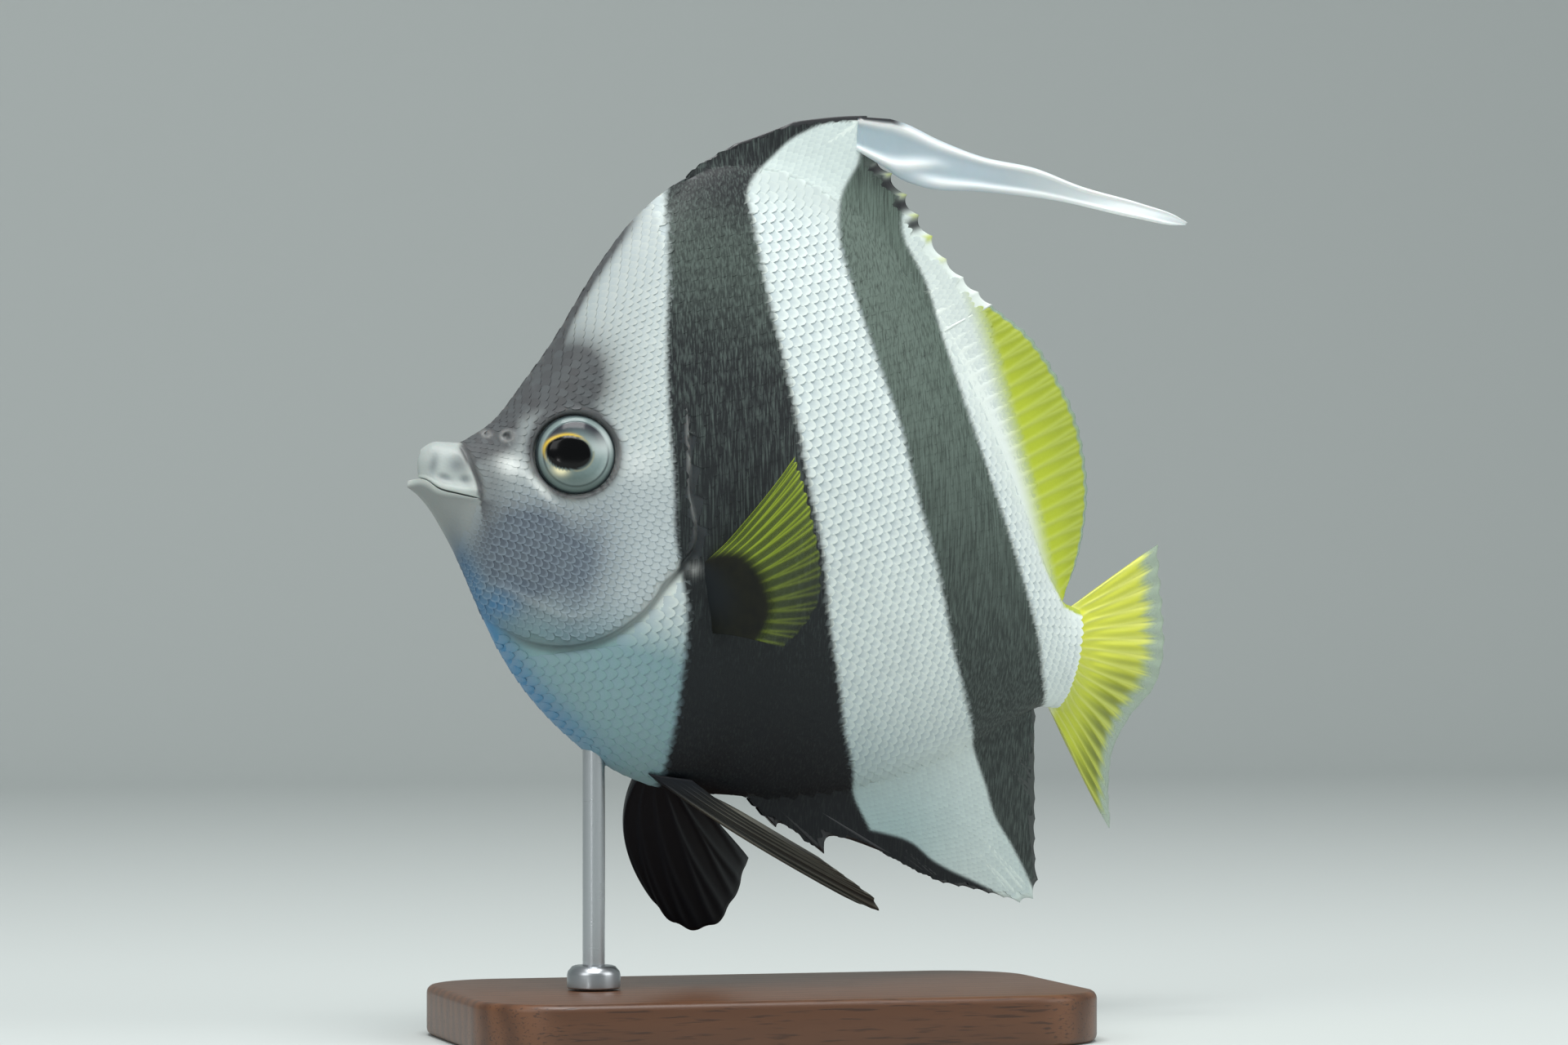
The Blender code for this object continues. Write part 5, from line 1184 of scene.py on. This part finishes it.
# dark: painted shade over the lower rays, and a darker web between the rays.
values = {"ray": ray, "lobe": lobe, "clear": clear, "rootward": rootward,
          "dark": np.clip(0.7 * lower_part + 0.3 * (1 - ray), 0.0, 1.0)}
for name, side in (("left", -1), ("right", 1)):
    pectoral_mesh = plate(f"pectoral_{name}", grid, half, values, side)
    piece(pectoral_mesh, pectoral_finish, "yellow_fin", f"pectoral_fin_{name}")

# Pelvic fins
# A stout spine and five branched rays in black skin, tapering to a point. The far one is spread down,
# the near one folded back along the belly, its edge brownish grey.
PELVIC_ROOT = [(47.4, -34.6, 2.6), (54.0, -34.4, 3.4)]
PELVIC_RAYS = 6
PELVIC_SHAPES = [
    ("right", 1, [(58.5, -53.4, 13.5), (63.0, -56.0, 15.0), (68.5, -57.0, 16.0), (73.4, -55.2, 16.5),
                  (76.2, -50.0, 17.0), (77.0, -43.5, 17.0)], (-3.6, -0.6, 0.4)),
    ("left", -1, [(84.0, -46.8, 8.4), (88.0, -47.0, 8.8), (87.0, -46.0, 9.4), (84.0, -44.7, 9.8),
                  (80.0, -43.2, 10.0), (76.0, -41.8, 10.2)], (0.0, -0.8, 0.0)),
]
PELVIC_WEB, PELVIC_ROOT_HALF, PELVIC_RAY = 0.16, 0.9, 0.2
PELVIC_MOTTLE = 2.0
black_finish, tree, place = new_finish("black_fin_skin", Roughness=0.5, Specular_IOR_Level=0.25)
mottle = node(tree, "TexNoise", {"Vector": place, "Scale": 1 / (PELVIC_MOTTLE * MM), "Detail": 3.0})
feed(tree, Base_Color=tinted(tree, "#070b11", [
    (mottle.outputs["Fac"], 0.25, "#101820"), ("ray", 0.3, "#141c25"), ("grey", 0.8, "#6b6a60")]))
phase, f = ray_numbers(PELVIC_RAYS, 16)
for name, side, edge, bow in PELVIC_SHAPES:
    roots = np.array(PELVIC_ROOT[0]) + f[:, None] * (np.array(PELVIC_ROOT[1]) - PELVIC_ROOT[0])
    tips = scalloped(phase, roots, through(edge)(f), 0.02)
    grid, phases, outs = fan(phase, roots, tips, 44)
    grid = grid + ((1 - f)[:, None] * 4 * outs * (1 - outs))[..., None] * np.array(bow)
    ray = rays_at(phases, outs, 0.12, 0.24, 0.2)
    half = PELVIC_WEB + PELVIC_ROOT_HALF * (1 - outs) ** 3 + PELVIC_RAY * ray * step(0.03, 0.2, outs)
    half = thinned(half, outs, start=0.92)
    grey = (side < 0) * (0.25 + 0.75 * ray) * step(0.05, 0.35, outs)
    pelvic_mesh = plate(f"pelvic_{name}", grid, half, {"ray": ray, "grey": np.clip(grey, 0.0, 1.0)}, side)
    piece(pelvic_mesh, black_finish, "black_fin", f"pelvic_fin_{name}")

# Display stand
# An oiled walnut base with rounded corners, a brushed steel rod that enters the breast, and a turned steel
# collar at the rod's foot, pressed onto the rod.
BASE_SIZE = (100.0, 60.0, 8.0)
BASE_CORNER = 14.0
BASE_BEVEL = 1.2
ROD_S = 39.0
ROD_RADIUS = 1.75
ROD_INSIDE = 2.5
ROD_CHAMFER = 0.2
COLLAR_RADIUS = 4.2
COLLAR_HEIGHT = 3.6
COLLAR_PLAY = 0.05
STAND_GAP = 0.3
COLLAR_PROFILE = [(0.2, 0.0), (0.0, 0.2), (0.0, 2.2), (0.15, 2.7), (0.5, 3.1), (0.8, 3.45), (1.2, 3.6)]
GRAIN_SWAY = 14.0
GRAIN_WIDTH = 2.2
PORE_WIDTH = 0.35
BRUSH_WIDTH = 0.15

# Oiled walnut: a dull sheen over wavy dark rings, 2.2 mm apart, and fine open pores along the board
walnut_finish, tree, place = new_finish("oiled_walnut", Roughness=0.42, Coat_Weight=0.15, Coat_Roughness=0.3)
drawn = {"Vector": place, "Scale": (0.1, 1.0, 1.0), "Rotation": (0.1, 0.0, 0.06)}
board = node(tree, "Mapping", drawn).outputs[0]
sway = node(tree, "TexNoise", {"Vector": board, "Scale": 1 / (GRAIN_SWAY * MM), "Detail": 3.0})
swayed = node(tree, "Mix", {0: 0.004, 4: board, 5: sway.outputs["Color"]}, data_type="VECTOR").outputs[1]
rings = node(tree, "TexWave", {"Vector": swayed, "Scale": 1 / (GRAIN_WIDTH * MM * 6.3), "Distortion": 3.0,
                               "Detail": 3.0, "Detail Scale": 1.5}, bands_direction="Y").outputs["Fac"]
fine = node(tree, "Mapping", {"Vector": place, "Scale": (0.06, 1.0, 1.0)}).outputs[0]
pores = node(tree, "TexNoise", {"Vector": fine, "Scale": 1 / (PORE_WIDTH * MM), "Detail": 2.0}).outputs["Fac"]
pores = node(tree, "MapRange", {"Value": pores, "From Min": 0.56, "From Max": 0.68}).outputs[0]
bump = node(tree, "Bump", {"Height": pores, "Strength": 0.35, "Distance": 0.05 * MM}, invert=True).outputs[0]
feed(tree, Normal=bump,
     Base_Color=tinted(tree, "#6b452b", [(rings, 0.65, "#452a19"), (pores, 0.6, "#24140b")]))

work = bmesh.new()
bmesh.ops.create_cube(work, size=1.0)
length, width, height = (value * MM for value in BASE_SIZE)
shape = Matrix.Translation((0, 0, height / 2)) @ Matrix.Diagonal((length, width, height, 1))
bmesh.ops.transform(work, matrix=shape, verts=work.verts)
upright = [edge for edge in work.edges if abs(edge.verts[0].co.z - edge.verts[1].co.z) > height / 2]
bmesh.ops.bevel(work, geom=upright, offset=BASE_CORNER * MM, segments=14, profile=0.5, affect="EDGES")
level = [edge for edge in work.edges if abs(edge.verts[0].co.z - edge.verts[1].co.z) < height / 4]
bmesh.ops.bevel(work, geom=level, offset=BASE_BEVEL * MM, segments=4, profile=0.5, affect="EDGES")
base_mesh = bpy.data.meshes.new("walnut_base")
work.to_mesh(base_mesh)
work.free()
piece(base_mesh, walnut_finish, "base_wood", "stand_base")
base_mesh.set_sharp_from_angle(angle=math.radians(30.0))

# Steel drawn or turned and then brushed round: fine rings 0.15 mm apart, drawn as bump and roughness
steel_finish, tree, place = new_finish("brushed_steel", Metallic=1.0, Base_Color=colour("#b9bdc0"))
drawn = node(tree, "Mapping", {"Vector": place, "Scale": (0.05, 0.05, 1.0)}).outputs[0]
brush = node(tree, "TexNoise", {"Vector": drawn, "Scale": 1 / (BRUSH_WIDTH * MM), "Detail": 3.0})
brush = brush.outputs["Fac"]
rough = node(tree, "MapRange", {"Value": brush, "To Min": 0.22, "To Max": 0.42}).outputs[0]
bump = node(tree, "Bump", {"Height": brush, "Strength": 0.2, "Distance": 0.02 * MM}).outputs[0]
feed(tree, Roughness=rough, Normal=bump)

foot_x, foot_y, foot_z = posed([ROD_S, float(belly(ROD_S)), 0.0]) / MM
low = BASE_SIZE[2] + STAND_GAP
rod_height = foot_z + ROD_INSIDE - low
bore = ROD_RADIUS + COLLAR_PLAY
rod_profile = [(0.0, 0.0), (ROD_RADIUS - ROD_CHAMFER, 0.0), (ROD_RADIUS, ROD_CHAMFER),
               (ROD_RADIUS, rod_height), (0.0, rod_height)]
outside = [(COLLAR_RADIUS - inwards, up) for inwards, up in COLLAR_PROFILE]
collar_profile = [(bore, COLLAR_HEIGHT), (bore, 0.0), *outside, (bore, COLLAR_HEIGHT)]
turn = np.linspace(0.0, 2 * np.pi, 65)[:, None]
for name, profile in (("rod", rod_profile), ("collar", collar_profile)):
    radius, level = np.array(profile).T
    ring_x, ring_y = foot_x + radius * np.cos(turn), foot_y + radius * np.sin(turn)
    grid = np.stack([ring_x, ring_y, low + level + 0 * turn], axis=-1)
    index = np.arange(grid[..., 0].size).reshape(len(turn), -1)
    turned_mesh = mesh_from(f"steel_{name}", grid.reshape(-1, 3) * MM, quads(index))
    close_up(turned_mesh, 1e-6)
    piece(turned_mesh, steel_finish, "rod_steel", f"stand_{name}")
    turned_mesh.set_sharp_from_angle(angle=math.radians(40.0))

# Floor and light
# A pale sweep of card under and behind the stand, four metres wide. A large soft light hangs over the
# front, a weaker one stands on each side, and a small low one glints in the eye.
SWEEP_FRONT, SWEEP_BACK, SWEEP_RADIUS, SWEEP_TOP, SWEEP_HALF = -1.6, 1.1, 0.5, 1.6, 2.0
card_finish, _, _ = new_finish("pale_matt_card", Roughness=0.9, Base_Color=colour("#c9cfcd"))
turn = np.linspace(0.0, 0.5 * np.pi, 24)
curve = np.column_stack([SWEEP_BACK + SWEEP_RADIUS * np.sin(turn), SWEEP_RADIUS * (1 - np.cos(turn))])
profile = np.concatenate([[(SWEEP_FRONT, 0.0)], curve, [(SWEEP_BACK + SWEEP_RADIUS, SWEEP_TOP)]])
depth, level = profile.T
across = np.linspace(-SWEEP_HALF, SWEEP_HALF, 3)[:, None]
grid = np.stack([across + 0 * depth, 0 * across + depth, 0 * across + level], axis=-1)
index = np.arange(grid[..., 0].size).reshape(len(across), -1)
sweep_mesh = mesh_from("floor_sweep", grid.reshape(-1, 3), quads(index))
sweep_mesh.materials.append(card_finish)
sweep_mesh.shade_smooth()
sweep = bpy.data.objects.new("floor_sweep", sweep_mesh)
bpy.context.scene.collection.objects.link(sweep)

LIGHT_AIM = Vector((0.0, 0.0, 0.08))
LIGHTS = [("top", (-0.1, -0.35, 1.15), 0.7, 14.0), ("left", (-1.0, -0.7, 0.75), 0.7, 3.6),
          ("right", (1.0, -0.7, 0.7), 0.8, 4.6), ("glint", (-0.62, -0.8, 0.02), 0.05, 0.15)]
for name, place, size, power in LIGHTS:
    light = bpy.data.lights.new(name, "AREA")
    light.size = size
    light.energy = power
    lamp = bpy.data.objects.new(name, light)
    lamp.location = place
    lamp.rotation_euler = (LIGHT_AIM - Vector(place)).to_track_quat("-Z", "Y").to_euler()
    bpy.context.scene.collection.objects.link(lamp)

world = bpy.data.worlds.new("room")
world.use_nodes = True
world.node_tree.nodes["Background"].inputs[0].default_value = colour("#dfe8ea")
world.node_tree.nodes["Background"].inputs[1].default_value = 0.35
bpy.context.scene.world = world
bpy.context.scene.view_settings.view_transform = "Standard"
